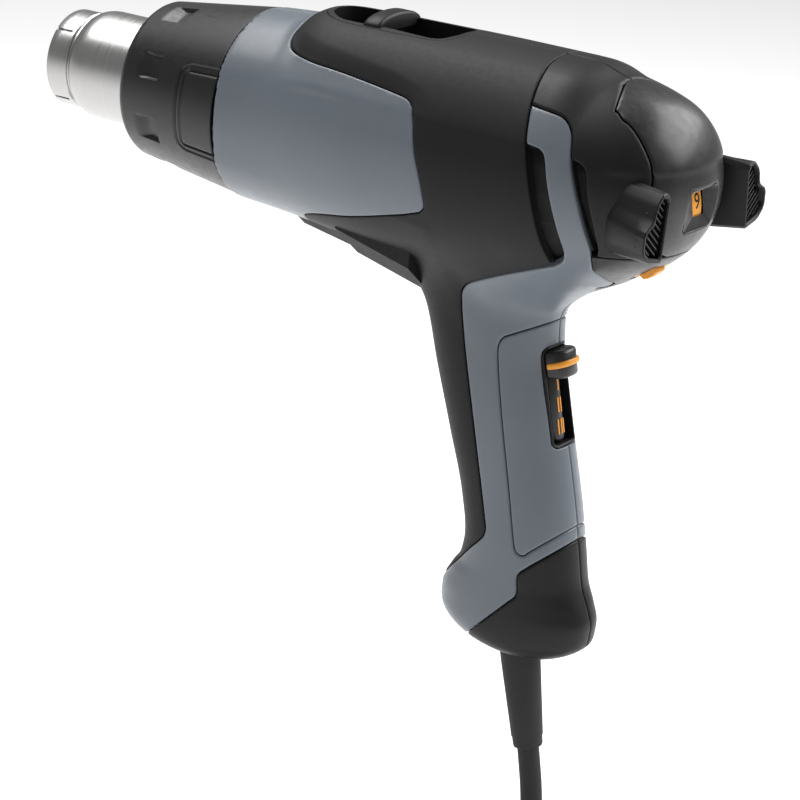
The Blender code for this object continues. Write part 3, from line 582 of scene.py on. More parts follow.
@dataclass(frozen=True)
class Outline:
    """A closed outline seen along one axis, made of smooth runs joined by straight links.

    `runs` hold (x, z) in metres; `plane` names the two coordinates that it bounds.
    """

    runs: tuple[tuple[Pair, ...], ...]
    plane: tuple[int, int] = (0, 2)

    def distance(self, points: Array) -> Array:
        """The signed distance to the outline.

        Args:
            points: (n, 3) millimetres.

        Returns:
            Millimetres, negative inside.
        """
        ring = np.array([p for run in self.runs for p in (smooth_line(run) if len(run) > 2 else
                                                          [(a / MM, b / MM) for a, b in run])])
        a, b = ring, np.roll(ring, -1, axis=0)
        keep = np.abs(b - a).sum(1) > 1e-6
        a, b = a[keep], b[keep]
        flat = points[:, self.plane].astype(np.float32)
        out = np.empty(len(flat))
        for start in range(0, len(flat), 20000):
            p = flat[start:start + 20000, None, :]
            ab = (b - a).astype(np.float32)[None]
            ap = p - a.astype(np.float32)[None]
            t = np.clip((ap * ab).sum(2) / (ab * ab).sum(2), 0, 1)
            near = np.sqrt((((ap - ab * t[..., None]) ** 2).sum(2)).min(1))
            rises = (a[None, :, 1] > p[..., 1]) != (b[None, :, 1] > p[..., 1])
            steep = np.where(rises, (b - a)[None, :, 1], 1)
            where = a[None, :, 0] + (p[..., 1] - a[None, :, 1]) * (b - a)[None, :, 0] / steep
            inside = (rises & (p[..., 0] < where)).sum(1) % 2 == 1
            out[start:start + 20000] = np.where(inside, -near, near)
        return out

    def outside(self, points: Array) -> Array:
        """The same distance, negative outside, for cutting a hole."""
        return -self.distance(points)


def rounded_slot(centre: Pair, half: Pair, radius: float, plane: tuple[int, int]) -> Field:
    """The field of a rounded rectangular hole.

    Args:
        centre: its middle in the plane, in millimetres.
        half: its half sizes.
        radius: the corners' radius.
        plane: the two coordinates that it bounds.

    Returns:
        A field that is negative outside the hole.
    """
    def hole(points: Array) -> Array:
        """Negative outside the hole."""
        q = np.abs(points[:, plane] - centre) - np.array(half) + radius
        return radius - np.linalg.norm(np.maximum(q, 0), axis=1) - np.minimum(q.max(1), 0)

    return hole


def world(points: Array) -> Array:
    """Points in millimetres along the gun, moved to the shared frame in metres."""
    return np.asarray(points, float) * MM + DATUM


def make_object(name: str, points: Array, faces: Sequence[Sequence[int]], finish: Finish,
                sharp: float = SHARP) -> Body:
    """Makes one mesh object.

    Args:
        name: the piece's name.
        points: (n, 3) millimetres along the gun.
        faces: point numbers, wound outward.
        finish: its finish.
        sharp: edges sharper than this angle aren't smoothed.

    Returns:
        The object, at the origin.
    """
    mesh = bpy.data.meshes.new(name)
    mesh.from_pydata(world(points).tolist(), [], faces.tolist() if isinstance(faces, Array) else faces)
    mesh.validate()
    mesh.shade_smooth()
    mesh.set_sharp_from_angle(angle=sharp)
    mesh.materials.append(finish.material())
    return put(name, mesh)


@dataclass
class Cover:
    """One moulded cover cut from the form: its limits, and how its rim is rounded."""

    name: str
    finish: Finish
    limits: tuple[Field, ...]
    thick: float = 1.6
    rim: float = 0.45
    gap: float = 0.13

    def inset(self, points: Array) -> Array:
        """How far points lie from the cover's limits, negative inside."""
        return np.max([limit(points) for limit in self.limits], axis=0)

    def wall(self, points: Array) -> Array:
        """The wall's thickness at points, thinner where the temperature wheel turns behind it."""
        room = np.hypot(points[:, 0] - WHEEL["x"], points[:, 2] - WHEEL["z"]) - WHEEL["clear"]
        near = np.abs(points[:, 1]) < WHEEL["half"] + 1.8
        return np.where(near, np.clip(room, 0.5, self.thick), self.thick)

    def solid(self, sheet: Sheet) -> tuple[Array, Array]:
        """Cuts the cover out of a sheet and gives it thickness.

        Args:
            sheet: the form's surface.

        Returns:
            Its points in millimetres and its triangles.
        """
        for limit in self.limits:
            sheet = sheet.split(limit, -self.gap, True)
        for part in (0.12, 0.4, 1.0):
            sheet = sheet.split(self.inset, -self.gap - part * self.rim, False)
        points, tris = sheet.points, sheet.tris
        normal = slope(points)
        normal /= np.linalg.norm(normal, axis=1)[:, None]
        e = np.clip(-self.inset(points) - self.gap, 0, self.rim)
        drop = self.rim - np.sqrt(np.maximum(self.rim ** 2 - (self.rim - e) ** 2, 0))
        count = len(points)
        ends = np.concatenate([tris[:, [0, 1]], tris[:, [1, 2]], tris[:, [2, 0]]])
        key = ends.min(1) * count + ends.max(1)
        _, index, times = np.unique(key, return_inverse=True, return_counts=True)
        edge = ends[times[index.reshape(-1)] == 1]
        wall = np.concatenate([np.stack([edge[:, 1], edge[:, 0], edge[:, 0] + count], 1),
                               np.stack([edge[:, 1], edge[:, 0] + count, edge[:, 1] + count], 1)])
        return (np.concatenate([points - normal * drop[:, None], points - normal * self.wall(points)[:, None]]),
                np.concatenate([tris, tris[:, ::-1] + count, wall]))

    def build(self, sheet: Sheet, replaced: str, mirrored: bool = False) -> Body:
        """Builds the cover in place of its CAD node.

        Args:
            sheet: the form's surface.
            replaced: the CAD node.
            mirrored: build it on the other side of the gun.

        Returns:
            The object.
        """
        points, tris = self.solid(sheet)
        if mirrored:
            points, tris = points * (1, -1, 1), tris[:, ::-1]
        obj = make_object(self.name, points, tris, self.finish)
        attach(obj, "gun")
        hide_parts(replaced)
        log.info("%s: %d triangles", self.name, len(tris))
        return obj


# ------------------------------------------------------------------ outlines of the covers, (x, z) in metres
MAIN_SEAM = ((.1968, .060), (.1974, .0389), (.1995, .0351), (.2016, .0278), (.2055, .0144),
             (.2081, .0066), (.2110, -.0042), (.2130, -.0142), (.2146, -.0215))
BAND_LEFT = ((.2049, .0168), (.2102, .0157), (.2121, .0131), (.2144, .0059), (.2165, -.0007),
             (.2185, -.0079), (.2198, -.0154), (.2185, -.0195), (.2150, -.0222))
BAND_RIGHT = ((.2017, .0275), (.2123, .0262), (.2151, .0249), (.2174, .0227), (.2189, .0201),
              (.2210, .0132), (.2248, .0030), (.2271, -.0053), (.2284, -.0131), (.2277, -.0180),
              (.2266, -.0218))
SLOT_RIGHT = ((.2207, .0146), (.2237, .0139), (.2258, .0119), (.2279, .0036), (.2299, -.0048),
              (.2306, -.0127), (.2295, -.0159), (.2278, -.0175))
GRIP_SEAM = ((.1983, -.0288), (.1822, -.0362), (.1785, -.0390), (.1771, -.0426), (.1782, -.0542),
             (.1809, -.0673), (.1857, -.0868), (.1931, -.1163), (.1937, -.1197), (.1928, -.1225),
             (.1876, -.1280), (.1737, -.1435), (.1600, -.1585))
CAP_SEAM = ((.2450, -.0975), (.2182, -.1219), (.2081, -.1308), (.2070, -.1328), (.2074, -.1390),
            (.2051, -.1420), (.1901, -.1579), (.1780, -.1700))
PANEL_TOP = ((.1045, .060), (.1045, .0310), (.1055, .0283), (.1080, .0263), (.1140, .0252),
             (.1320, .0240), (.1540, .0218), (.1590, .0209), (.1616, .0190))
PANEL_BACK = ((.1635, .0142), (.1661, .0063), (.1692, -.0017), (.1709, -.0090), (.1708, -.0112),
              (.1693, -.0130))
PANEL_LOW = ((.1630, -.0153), (.1400, -.0220), (.1172, -.0276), (.1125, -.0330), (.1080, -.0380),
             (.1080, -.060))
INLAY = ((.2400, -.0330), (.2090, -.0460), (.1926, -.0536), (.1913, -.0555), (.1909, -.0583),
         (.1924, -.0682), (.1959, -.0844), (.2006, -.1039), (.2047, -.1221), (.2060, -.1246),
         (.2081, -.1252), (.2100, -.1235), (.2400, -.0975))
CHIN_SEAM = ((.2266, -.0218), (.2274, -.0242), (.2272, -.0285), (.2251, -.0304), (.2203, -.0328),
             (.2180, -.0450))
CHIN_TOP = -.0160
HOOD_SEAM = ((.2206, .060), (.2207, .0400), (.2211, .0353), (.2224, .0344), (.2242, .0329),
             (.2259, .0306), (.2266, .0293), (.2277, .0289), (.2301, .0274), (.2329, .0262),
             (.2358, .0243), (.2392, .0211), (.2420, .0174), (.2434, .0146), (.2441, .0108),
             (.2446, CHIN_TOP))
RECESS_HALF = ((.1080, .0035), (.1090, .0062), (.1122, .0098), (.1175, .0125), (.1270, .0134),
               (.1540, .0131), (.1590, .0115), (.1618, .0060))

PANEL = Outline((((.0784, .060),), PANEL_TOP, PANEL_BACK, PANEL_LOW, ((.0784, -.060),)))
GRIP = Outline((MAIN_SEAM, GRIP_SEAM, ((.140, -.1585), (.140, -.060)), back(PANEL_LOW), back(PANEL_BACK),
                back(PANEL_TOP)))
HANDLE = Outline((BAND_LEFT, GRIP_SEAM, ((.150, -.1700),), back(CAP_SEAM), ((.2450, -.0450),), back(CHIN_SEAM),
                  back(BAND_RIGHT)))
INLAY_EDGE = Outline((INLAY,))
SIDE_COVER = Outline((HOOD_SEAM, ((.2281, CHIN_TOP),), back(BAND_RIGHT[:9]), back(MAIN_SEAM[:4])))
RIGHT_SLOT = Outline((SLOT_RIGHT, back(BAND_RIGHT[5:10])))
BASE_CAP = Outline((CAP_SEAM, ((.1780, -.1800), (.2450, -.1800))))
HOOD_EDGE = Outline((HOOD_SEAM, ((.2700, CHIN_TOP), (.2700, .060))))
CHIN_EDGE = Outline((((.2281, CHIN_TOP), BAND_RIGHT[9]), CHIN_SEAM, ((.2700, -.0450), (.2700, CHIN_TOP))))
RECESS = Outline((RECESS_HALF, tuple((x, -y) for x, y in reversed(RECESS_HALF))), (0, 1))

RAKE = math.radians(12.5)
SLIDER_REST = np.array((206.0, 0.0, -61.1))
WHEEL = {"x": 223.0, "z": -3.9, "clear": 24.7, "half": 6.2}
WELL_RADIUS = 3.2
SCREWS = ((99.0, -28.3), (171.5, -34.5), (170.0, -62.0), (184.6, -119.0), (182.0, -145.0))
BOOT_TOP = np.array((201.0, 0.0, -162.5))
BOOT_END = np.array((208.5, 0.0, -199.4))


def left_of_middle(points: Array) -> Array:
    """Negative on the gun's left half."""
    return points[:, 1]


def above_barrel_side(points: Array) -> Array:
    """Negative outside the hanging recess, which opens upward only."""
    return np.where(points[:, 2] > 25, RECESS.outside(points), -99.0)


def clear_of_bay(points: Array) -> Array:
    """The field of the switch bay's mouth on the back of the handle.

    Args:
        points: (n, 3) millimetres.

    Returns:
        Negative outside the mouth.
    """
    c, s = math.cos(RAKE), math.sin(RAKE)
    q = points - SLIDER_REST
    down = q[:, 0] * s - q[:, 2] * c
    flat = np.stack([down - 12.0, np.abs(points[:, 1])], 1)
    hole = rounded_slot((0.0, 0.0), (17.0, 7.4), 2.6, (0, 1))(flat)
    return np.where(points[:, 0] > 192, hole, -99.0)


def clear_of_thumb(points: Array) -> Array:
    """Negative outside the slot under the dome where the thumb wheel comes through."""
    hole = rounded_slot((235.8, 0.0), (4.6, 6.6), 1.2, (0, 1))(points)
    return np.where(points[:, 2] < 0, hole, -99.0)


def clear_of_window(points: Array) -> Array:
    """Negative outside the dial window's rim on the dome."""
    hole = rounded_slot((0.0, -0.45), (9.3, 6.95), 2.2, (1, 2))(points)
    return np.where(points[:, 0] > 242, hole, -99.0)


def clear_of_well(centre: Pair, radius: float) -> Field:
    """The field of a round screw well seen from the side.

    Args:
        centre: (x, z) in millimetres.
        radius: the well's radius.

    Returns:
        A field that is negative outside the well.
    """
    def hole(points: Array) -> Array:
        """Negative outside the well."""
        return radius - np.hypot(points[:, 0] - centre[0], points[:, 2] - centre[1])

    return hole


@dataclass
class Covers:
    """The moulded covers: three pairs down the gun, and the hood and chin at the back."""

    cell: float = 1.15
    air_gap: float = 3.0
    left_box: tuple[Point, Point] = ((81.0, -47.0, -170.0), (257.0, 1.6, 42.0))
    rear_box: tuple[Point, Point] = ((205.0, -40.0, -48.0), (257.0, 40.0, 42.0))

    def build(self) -> None:
        """Builds every cover in place of its CAD node."""
        left = surface_net(*self.left_box, self.cell)
        log.info("left half: %d triangles", len(left.tris))
        wells = tuple(clear_of_well(at, WELL_RADIUS) for at in SCREWS)
        for cover in self.left_covers():
            for side in Side:
                right = side is Side.RIGHT
                half = replace(cover, name=f"{cover.name}_skin_{side.word}",
                               limits=(*cover.limits, *wells) if right else cover.limits)
                half.build(left, f"{cover.name}_{side.word}", right)
        rear = surface_net(*self.rear_box, self.cell)
        Cover("hood_shell", HOOD, (HOOD_EDGE.distance, clear_of_window), thick=1.8).build(rear, "rear_hood")
        Cover("chin_shell", HOOD, (CHIN_EDGE.distance, clear_of_thumb), thick=1.8).build(rear, "chin_cover")

    def left_covers(self) -> list[Cover]:
        """The left covers, each named for its pair."""
        middle = left_of_middle
        return [
            Cover("barrel_panel", GREY, (PANEL.distance, middle)),
            Cover("grip_cover", SOFT, (GRIP.distance, middle, above_barrel_side)),
            Cover("handle_panel", GREY,
                  (HANDLE.distance, INLAY_EDGE.outside, clear_of_bay, clear_of_thumb, middle),
                  thick=self.air_gap, rim=0.7),
            Cover("handle_inlay", GREY, (INLAY_EDGE.distance, clear_of_bay, middle)),
            Cover("rear_side_cover", BLACK, (SIDE_COVER.distance, RIGHT_SLOT.outside, middle), rim=0.6),
            Cover("base_cap", BLACK, (BASE_CAP.distance, middle), rim=0.6),
        ]


# ------------------------------------------------------------------ closed shapes from rings
def stacked(x: Array | float, y: Array | float, z: Array | float) -> Array:
    """Points from their coordinates, each an array or one number."""
    return np.stack(np.broadcast_arrays(x, y, z), -1)


def outward(points: Array, faces: list[tuple[int, ...]]) -> list[tuple[int, ...]]:
    """Turns a closed shape's faces outward.

    Args:
        points: (n, 3) points.
        faces: its faces, all wound one way.

    Returns:
        The faces, flipped if they faced inward.
    """
    volume = 0.0
    for face in faces:
        a = points[face[0]]
        for i in range(1, len(face) - 1):
            volume += float(np.dot(a, np.cross(points[face[i]], points[face[i + 1]])))
    return faces if volume > 0 else [tuple(reversed(face)) for face in faces]


def lofted(rings: Sequence[Array], loop: bool = False) -> Shape:
    """Skins closed rings of equally many points.

    Args:
        rings: the rings in order.
        loop: join the last ring to the first, instead of capping both ends.

    Returns:
        The points and the faces, turned outward.
    """
    n = len(rings[0])
    points = np.concatenate([np.asarray(ring, float) for ring in rings])
    faces = []
    last = len(rings) if loop else len(rings) - 1
    for k in range(last):
        a, b = k * n, ((k + 1) % len(rings)) * n
        faces += [(a + i, a + (i + 1) % n, b + (i + 1) % n, b + i) for i in range(n)]
    if not loop:
        faces += [tuple(range(n - 1, -1, -1)), tuple(range(last * n, (last + 1) * n))]
    return points, outward(points, faces)


def revolved(outer: Sequence[Pair], inner: Sequence[Pair], angles: Array,
             bump: Callable[[Array, Array], Array] | None = None) -> Shape:
    """Turns a closed profile about the barrel's axis.

    Args:
        outer: (x, radius) along the outside, in millimetres.
        inner: (x, radius) back along the inside.
        angles: the columns, from the top towards the left side.
        bump: how far the outside sinks at (x, angle).

    Returns:
        The points and the faces.
    """
    rings = []
    for i, (x, r) in enumerate((*outer, *inner)):
        sink = bump(np.full(len(angles), x), angles) if bump and i < len(outer) else 0.0
        rings.append(stacked(x, -np.sin(angles) * (r - sink), np.cos(angles) * (r - sink)))
    return lofted(rings, loop=True)


def rounded_ring(half_a: float, half_b: float, radius: float, steps: int = 6) -> Array:
    """A rounded rectangle's outline about the origin.

    Args:
        half_a: its half width.
        half_b: its half height.
        radius: the corners' radius.
        steps: pieces in a corner.

    Returns:
        (n, 2) points, anticlockwise.
    """
    out = []
    for k, (sa, sb) in enumerate(((1, 1), (-1, 1), (-1, -1), (1, -1))):
        for t in np.linspace(0, QUARTER, steps + 1) + k * QUARTER:
            out.append((sa * (half_a - radius) + radius * math.cos(t),
                        sb * (half_b - radius) + radius * math.sin(t)))
    return np.array(out)


def surface_along(start: Array, direction: Array, reach: float = 30.0) -> Array:
    """Where rays from inside the form leave it.

    Args:
        start: (n, 3) points inside.
        direction: (3,) the rays' direction.
        reach: how far they run.

    Returns:
        (n, 3) points on the surface.
    """
    low, high = np.zeros(len(start)), np.full(len(start), reach)
    for _ in range(24):
        mid = (low + high) / 2
        out = form(*(start + direction * mid[:, None]).T) > 0
        low, high = np.where(out, low, mid), np.where(out, mid, high)
    return start + direction * low[:, None]


@dataclass(frozen=True)
class Place:
    """Where one copy of a repeated shape goes: millimetres, turn in radians, and its size."""

    at: Point
    turn: Point = (0.0, 0.0, 0.0)
    size: Point = (1.0, 1.0, 1.0)


@dataclass
class Repeat:
    """A small shape repeated with Geometry Nodes and turned into one mesh."""

    name: str
    finish: Finish
    bevel: float = 0.15

    def block(self) -> Body:
        """The unit block that is repeated, with softened edges."""
        bm = bmesh.new()
        bmesh.ops.create_cube(bm, size=1.0)
        bmesh.ops.bevel(bm, geom=bm.edges[:], offset=self.bevel, segments=1, affect="EDGES")
        mesh = bpy.data.meshes.new(f"{self.name}_unit")
        bm.to_mesh(mesh)
        bm.free()
        return put(f"{self.name}_unit", mesh)

    def tree(self) -> Tree:
        """The Geometry Nodes tree, with the shape and the material as named inputs."""
        tree = bpy.data.node_groups.new(f"{self.name}_repeat", "GeometryNodeTree")
        for word, way, kind in (("Geometry", "INPUT", "Geometry"), ("Shape", "INPUT", "Object"),
                                ("Finish", "INPUT", "Material"), ("Geometry", "OUTPUT", "Geometry")):
            tree.interface.new_socket(word, in_out=way, socket_type=f"NodeSocket{kind}")
        start = tree.nodes.new("NodeGroupInput").outputs
        shape = add_node(tree, "GeometryNodeObjectInfo", links={"Object": start["Shape"]})
        spread = add_node(tree, "GeometryNodeInstanceOnPoints",
                          links={"Points": start["Geometry"], "Instance": shape.outputs["Geometry"]})
        for word, socket in (("turn", "Rotation"), ("size", "Scale")):
            read = add_node(tree, "GeometryNodeInputNamedAttribute", {"Name": word})
            read.data_type = "FLOAT_VECTOR"
            tree.links.new(read.outputs["Attribute"], spread.inputs[socket])
        real = add_node(tree, "GeometryNodeRealizeInstances", links={"Geometry": spread.outputs["Instances"]})
        paint = add_node(tree, "GeometryNodeSetMaterial",
                         links={"Geometry": real.outputs["Geometry"], "Material": start["Finish"]})
        add_node(tree, "NodeGroupOutput", links={"Geometry": paint.outputs["Geometry"]})
        return tree

    def build(self, places: Sequence[Place], body: str) -> Body:
        """Builds every copy as one piece.

        Args:
            places: where the copies go.
            body: the body that they ride.

        Returns:
            The object.
        """
        mesh = bpy.data.meshes.new(f"{self.name}_places")
        mesh.from_pydata(world([p.at for p in places]).tolist(), [], [])
        for word, values in (("turn", [p.turn for p in places]),
                             ("size", [[s * MM for s in p.size] for p in places])):
            attribute = mesh.attributes.new(word, "FLOAT_VECTOR", "POINT")
            attribute.data.foreach_set("vector", np.array(values, float).ravel())
        source = put(f"{self.name}_places", mesh)
        unit = self.block()
        nodes = self.tree()
        modifier = source.modifiers.new("repeat", "NODES")
        modifier.node_group = nodes
        inputs = {item.name: item.identifier for item in nodes.interface.items_tree if item.in_out == "INPUT"}
        modifier[inputs["Shape"]] = unit
        modifier[inputs["Finish"]] = self.finish.material()
        bpy.context.view_layer.update()
        evaluated = source.evaluated_get(bpy.context.evaluated_depsgraph_get())
        made = bpy.data.meshes.new_from_object(evaluated)
        made.name = self.name
        source.modifiers.remove(modifier)
        obj = put(self.name, made)
        for spare in (source, unit):
            bpy.data.objects.remove(spare)
        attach(obj, body)
        log.info("%s: %d copies", self.name, len(places))
        return obj


def piece(name: str, shape: Shape, finish: Finish, body: str = "gun",
          nodes: Sequence[str] = (), sharp: float = SHARP) -> Body:
    """Makes one piece from a closed shape.

    Args:
        name: the piece's name.
        shape: its points and faces.
        finish: its finish.
        body: the body that it rides.
        nodes: the CAD nodes that it stands in for.
        sharp: edges sharper than this aren't smoothed.

    Returns:
        The object.
    """
    obj = make_object(name, shape[0], shape[1], finish, sharp)
    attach(obj, body)
    if nodes:
        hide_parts(*nodes)
    log.info("%s: %d faces", name, len(shape[1]))
    return obj


# ------------------------------------------------------------------ hot end
@dataclass
class Nozzle:
    """The stainless blow-out tube: grooved front ring with four slits, stepped up behind."""

    radius: float = 17.0
    back_radius: float = 19.0
    wall: float = 1.0
    end: float = 86.0
    slit_end: float = 7.0
    slit_half: float = 0.5
    slit_depth: float = 0.85
    steps: int = 144

    def slits(self, x: Array, angle: Array) -> Array:
        """How far the front ring's slits sink."""
        past = (angle - QUARTER / 2) % QUARTER
        gap = np.minimum(past, QUARTER - past) * self.radius
        return np.where((gap < self.slit_half) & (x < self.slit_end), self.slit_depth, 0.0)

    def columns(self) -> Array:
        """The angles, with close pairs at each slit's sides."""
        out = list(np.linspace(0, math.tau, self.steps, endpoint=False))
        half = self.slit_half / self.radius
        for k in range(4):
            middle = QUARTER / 2 + k * QUARTER
            out += [middle + at for at in (-half - 0.004, 0.001 - half, half - 0.001, half + 0.004)]
        return np.unique(np.round(out, 5))

    def build(self) -> None:
        """Builds the tube in place of the CAD's two nodes."""
        r, b, w = self.radius, self.back_radius, self.wall
        outer = [(0.0, r - 0.45), (0.12, r - 0.18), (0.45, r), (3.0, r), (6.9, r), (7.1, r), (8.3, r),
                 (8.6, r - 0.25), (8.8, r - 0.7), (9.3, r - 0.8), (9.8, r - 0.5), (10.2, r + 0.15),
                 (10.8, r + 0.7), (11.7, r + 1.2), (12.9, r + 1.6), (14.3, b - 0.12), (15.6, b),
                 (17.6, b), (40.0, b), (self.end, b)]
        inner = [(self.end, b - w), (16.6, b - w), (15.0, b - w - 0.5), (12.8, r - w),
                 (11.4, r - w - 1.2), (9.2, r - w - 1.2), (8.2, r - w), (0.3, r - w),
                 (0.0, r - w + 0.2)]
        shape = revolved(outer, inner, self.columns(), self.slits)
        piece("nozzle", shape, STEEL, nodes=("nozzle_tip", "nozzle_tube"))


@dataclass
class Sleeve:
    """The protective sleeve: eight grip pockets round its front, and a grooved pad on each side."""

    front: float = 39.5
    front_radius: float = 26.9
    rear: float = 83.1
    rear_radius: float = 32.6
    lip: float = 20.0
    wall: float = 2.4
    columns: int = 440
    step: float = 0.45
    pockets: int = 8
    pocket_depth: float = 1.5
    pad_front: float = 66.9
    pad_half: float = 16.0
    pad_corner: float = 4.0
    groove_depth: float = 0.65
    groove_half: float = 0.42

    def radius(self, x: float) -> float:
        """The outside radius at x."""
        share = (x - self.front) / (self.rear - self.front)
        return self.front_radius + (self.rear_radius - self.front_radius) * share

    def bump(self, x: Array, angle: Array) -> Array:
        """The pockets and the pads' grooves.

        Args:
            x: millimetres back.
            angle: round the barrel, from the top.

        Returns:
            How far the outside sinks.
        """
        each = math.tau / self.pockets
        off = np.abs(angle % each - each / 2)
        along = ease(x, 46.6, 53.5) * (1 - ease(x, 56.7, 57.5))
        pocket = self.pocket_depth * along * (1 - ease(np.degrees(off), 8.0, 9.6))
        side = np.minimum(np.abs(angle - QUARTER), np.abs(angle - 3 * QUARTER)) * self.rear_radius
        q = np.stack([side - self.pad_half, self.pad_front - x], -1) + self.pad_corner
        edge = np.linalg.norm(np.maximum(q, 0), axis=-1) + np.minimum(q.max(-1), 0) - self.pad_corner
        grooves = sum(np.exp(-((edge - at) / self.groove_half) ** 4) for at in (0.0, -2.1))
        return pocket + self.groove_depth * grooves

    def build(self) -> None:
        """Builds the sleeve in place of its CAD node."""
        f, fr, w = self.front, self.front_radius, self.wall
        outer = [(f, self.lip), (f, fr - 2.4), (f + 0.15, fr - 1.5), (f + 0.6, fr - 0.7),
                 (f + 1.3, fr - 0.15)]
        outer += [(x, self.radius(x)) for x in np.arange(f + 2.2, self.rear - 0.5, self.step)]
        outer += [(self.rear - 0.25, self.rear_radius - 0.05), (self.rear, self.rear_radius - 0.35)]
        inner = [(self.rear, self.rear_radius - w), (f + 4.0, fr - w - 2.6), (f + 2.4, self.lip)]
        angles = np.linspace(0, math.tau, self.columns, endpoint=False)
        shape = revolved(outer, inner, angles, self.bump)
        piece("sleeve", shape, HOOD, "sleeve", ("protective_sleeve",))


# ------------------------------------------------------------------ hanging recess
@dataclass
class HangingRecess:
    """The tray in the pod and the arched strap that a hook passes under."""

    floor: float = 28.7
    wall: float = 2.2
    strap: tuple[float, float] = (127.5, 134.0)
    half: float = 12.6

    def rim(self, less: float) -> Array:
        """The opening's outline on the form's surface.

        Args:
            less: millimetres that it is drawn in.

        Returns:
            (n, 3) points.
        """
        line = np.array(smooth_line(RECESS_HALF, 4))
        line = np.vstack([line, line[::-1] * (1, -1)])
        nose, tail = line[0] * (1, 0) - (0.5, 0), line[len(line) // 2] * (1, 0) + (0.3, 0)
        line = np.vstack([nose, line[:len(line) // 2], tail, line[len(line) // 2:]])
        middle = np.array((135.0, 0.0))
        shrink = (line - middle) / np.linalg.norm(line - middle, axis=1)[:, None]
        line = line - shrink * less * np.where(np.abs(shrink[:, :1]) > 0.8, 1.0, 1.15)
        return surface_along(stacked(line[:, 0], line[:, 1], 20.0), UP)

    def build(self) -> None:
        """Builds the tray and the strap in place of the CAD's one node."""
        outer, inner = self.rim(0.2), self.rim(0.2 + self.wall)
        under = outer.copy()
        under[:, 2] = self.floor - 1.4
        low = inner.copy()
        low[:, 2] = self.floor
        top_out, top_in = outer - (0, 0, 0.25), inner - (0, 0, 0.35)
        tray = lofted([under, top_out, top_in, low])
        piece("hanging_tray", tray, BLACK, nodes=("hanging_recess",))
        x0, x1 = self.strap
        rings = []
        for x, inset in ((x0, 1.0), (x0 + 0.3, 0.4), (x0 + 1.0, 0.0), (x1 - 1.0, 0.0), (x1 - 0.3, 0.4),
                         (x1, 1.0)):
            t = np.linspace(0.0, math.pi, 25)
            arch = stacked(x, (self.half - inset * 0.4) * np.cos(t), 36.2 + (4.3 - inset) * np.sin(t) ** 0.8)
            under = stacked(x, np.linspace(-self.half, self.half, 9), 34.6 + inset * 0.5)
            rings.append(np.vstack([arch, under]))
        piece("hanging_strap", lofted(rings), BLACK)


# ------------------------------------------------------------------ tail
@dataclass
class StandFoot:
    """One of the two hollow stand feet at the tail, ribbed inside."""

    side: Side
    face: float = 252.6
    root: float = 233.6
    depth: float = 5.0
    rib_slant: float = math.radians(38)
    rib_step: float = 1.75
    rear: tuple[Pair, ...] = ((25.4, 8.8), (29.4, 10.6), (33.8, 7.0), (35.0, 2.2), (40.4, -0.9),
                              (40.4, -7.2), (36.2, -10.8), (27.6, -12.4))
    front: tuple[Pair, ...] = ((22.5, 11.5), (25.5, 11.0), (28.2, 7.0), (29.6, 3.0), (30.8, -1.5),
                               (29.8, -8.0), (26.4, -13.5), (22.0, -14.0))

    def ring(self, x: float, share: float, less: float) -> Array:
        """The foot's outline at x.

        Args:
            x: where, in millimetres.
            share: 0 at the root, 1 at the rear face.
            less: how far it is drawn in.

        Returns:
            (n, 3) points.
        """
        corners = np.array(self.front) * (1 - share) + np.array(self.rear) * share
        middle = corners.mean(0)
        out = []
        for i, corner in enumerate(corners):
            for other in (corners[i - 1], corners[(i + 1) % len(corners)]):
                step = (other - corner) / np.linalg.norm(other - corner)
                out.append(corner + step * 1.1)
        flat = np.array(out)
        pull = flat - middle
        flat = flat - pull / np.linalg.norm(pull, axis=1)[:, None] * less
        return stacked(x, flat[:, 0] * self.side, flat[:, 1])

    def build(self) -> None:
        """Builds the foot and its ribs."""
        face, word = self.face, self.side.word
        stages = ((self.root, 0.0, 0.0), (face - 6.0, 0.68, 0.0), (face - 0.5, 0.98, 0.0),
                  (face, 1.0, 0.45), (face, 1.0, 1.2), (face - 0.5, 1.0, 1.7),
                  (face - self.depth, 0.9, 2.1))
        rings = [self.ring(*stage) for stage in stages]
        piece(f"foot_{word}", lofted(rings), BLACK, nodes=(f"stand_foot_{word}",), sharp=math.radians(24))
        Repeat(f"foot_ribs_{word}", BLACK).build(self.ribs(), "gun")

    def ribs(self) -> list[Place]:
        """The slanting ribs in the hollow, cut to its outline."""
        ring = self.ring(self.face, 1.0, 2.3)[:, 1:]
        slant = self.rib_slant * self.side
        along = np.array((math.cos(slant), math.sin(slant)))
        across = np.array((-along[1], along[0]))
        out = []
        for at in np.arange(-14.0, 14.0, self.rib_step):
            centre = ring.mean(0) + across * at
            hits = []
            for a, b in zip(ring, np.roll(ring, -1, axis=0)):
                da, db = (a - centre) @ across, (b - centre) @ across
                if da * db < 0:
                    hits.append(((a + (b - a) * da / (da - db)) - centre) @ along)
            length = max(hits) - min(hits) if len(hits) > 1 else 0.0
            if length >= 1.5:
                middle = centre + along * (max(hits) + min(hits)) / 2
                out.append(Place((self.face - 2.8, *middle), (slant, 0.0, 0.0), (3.6, length - 0.1, 0.7)))
        return out


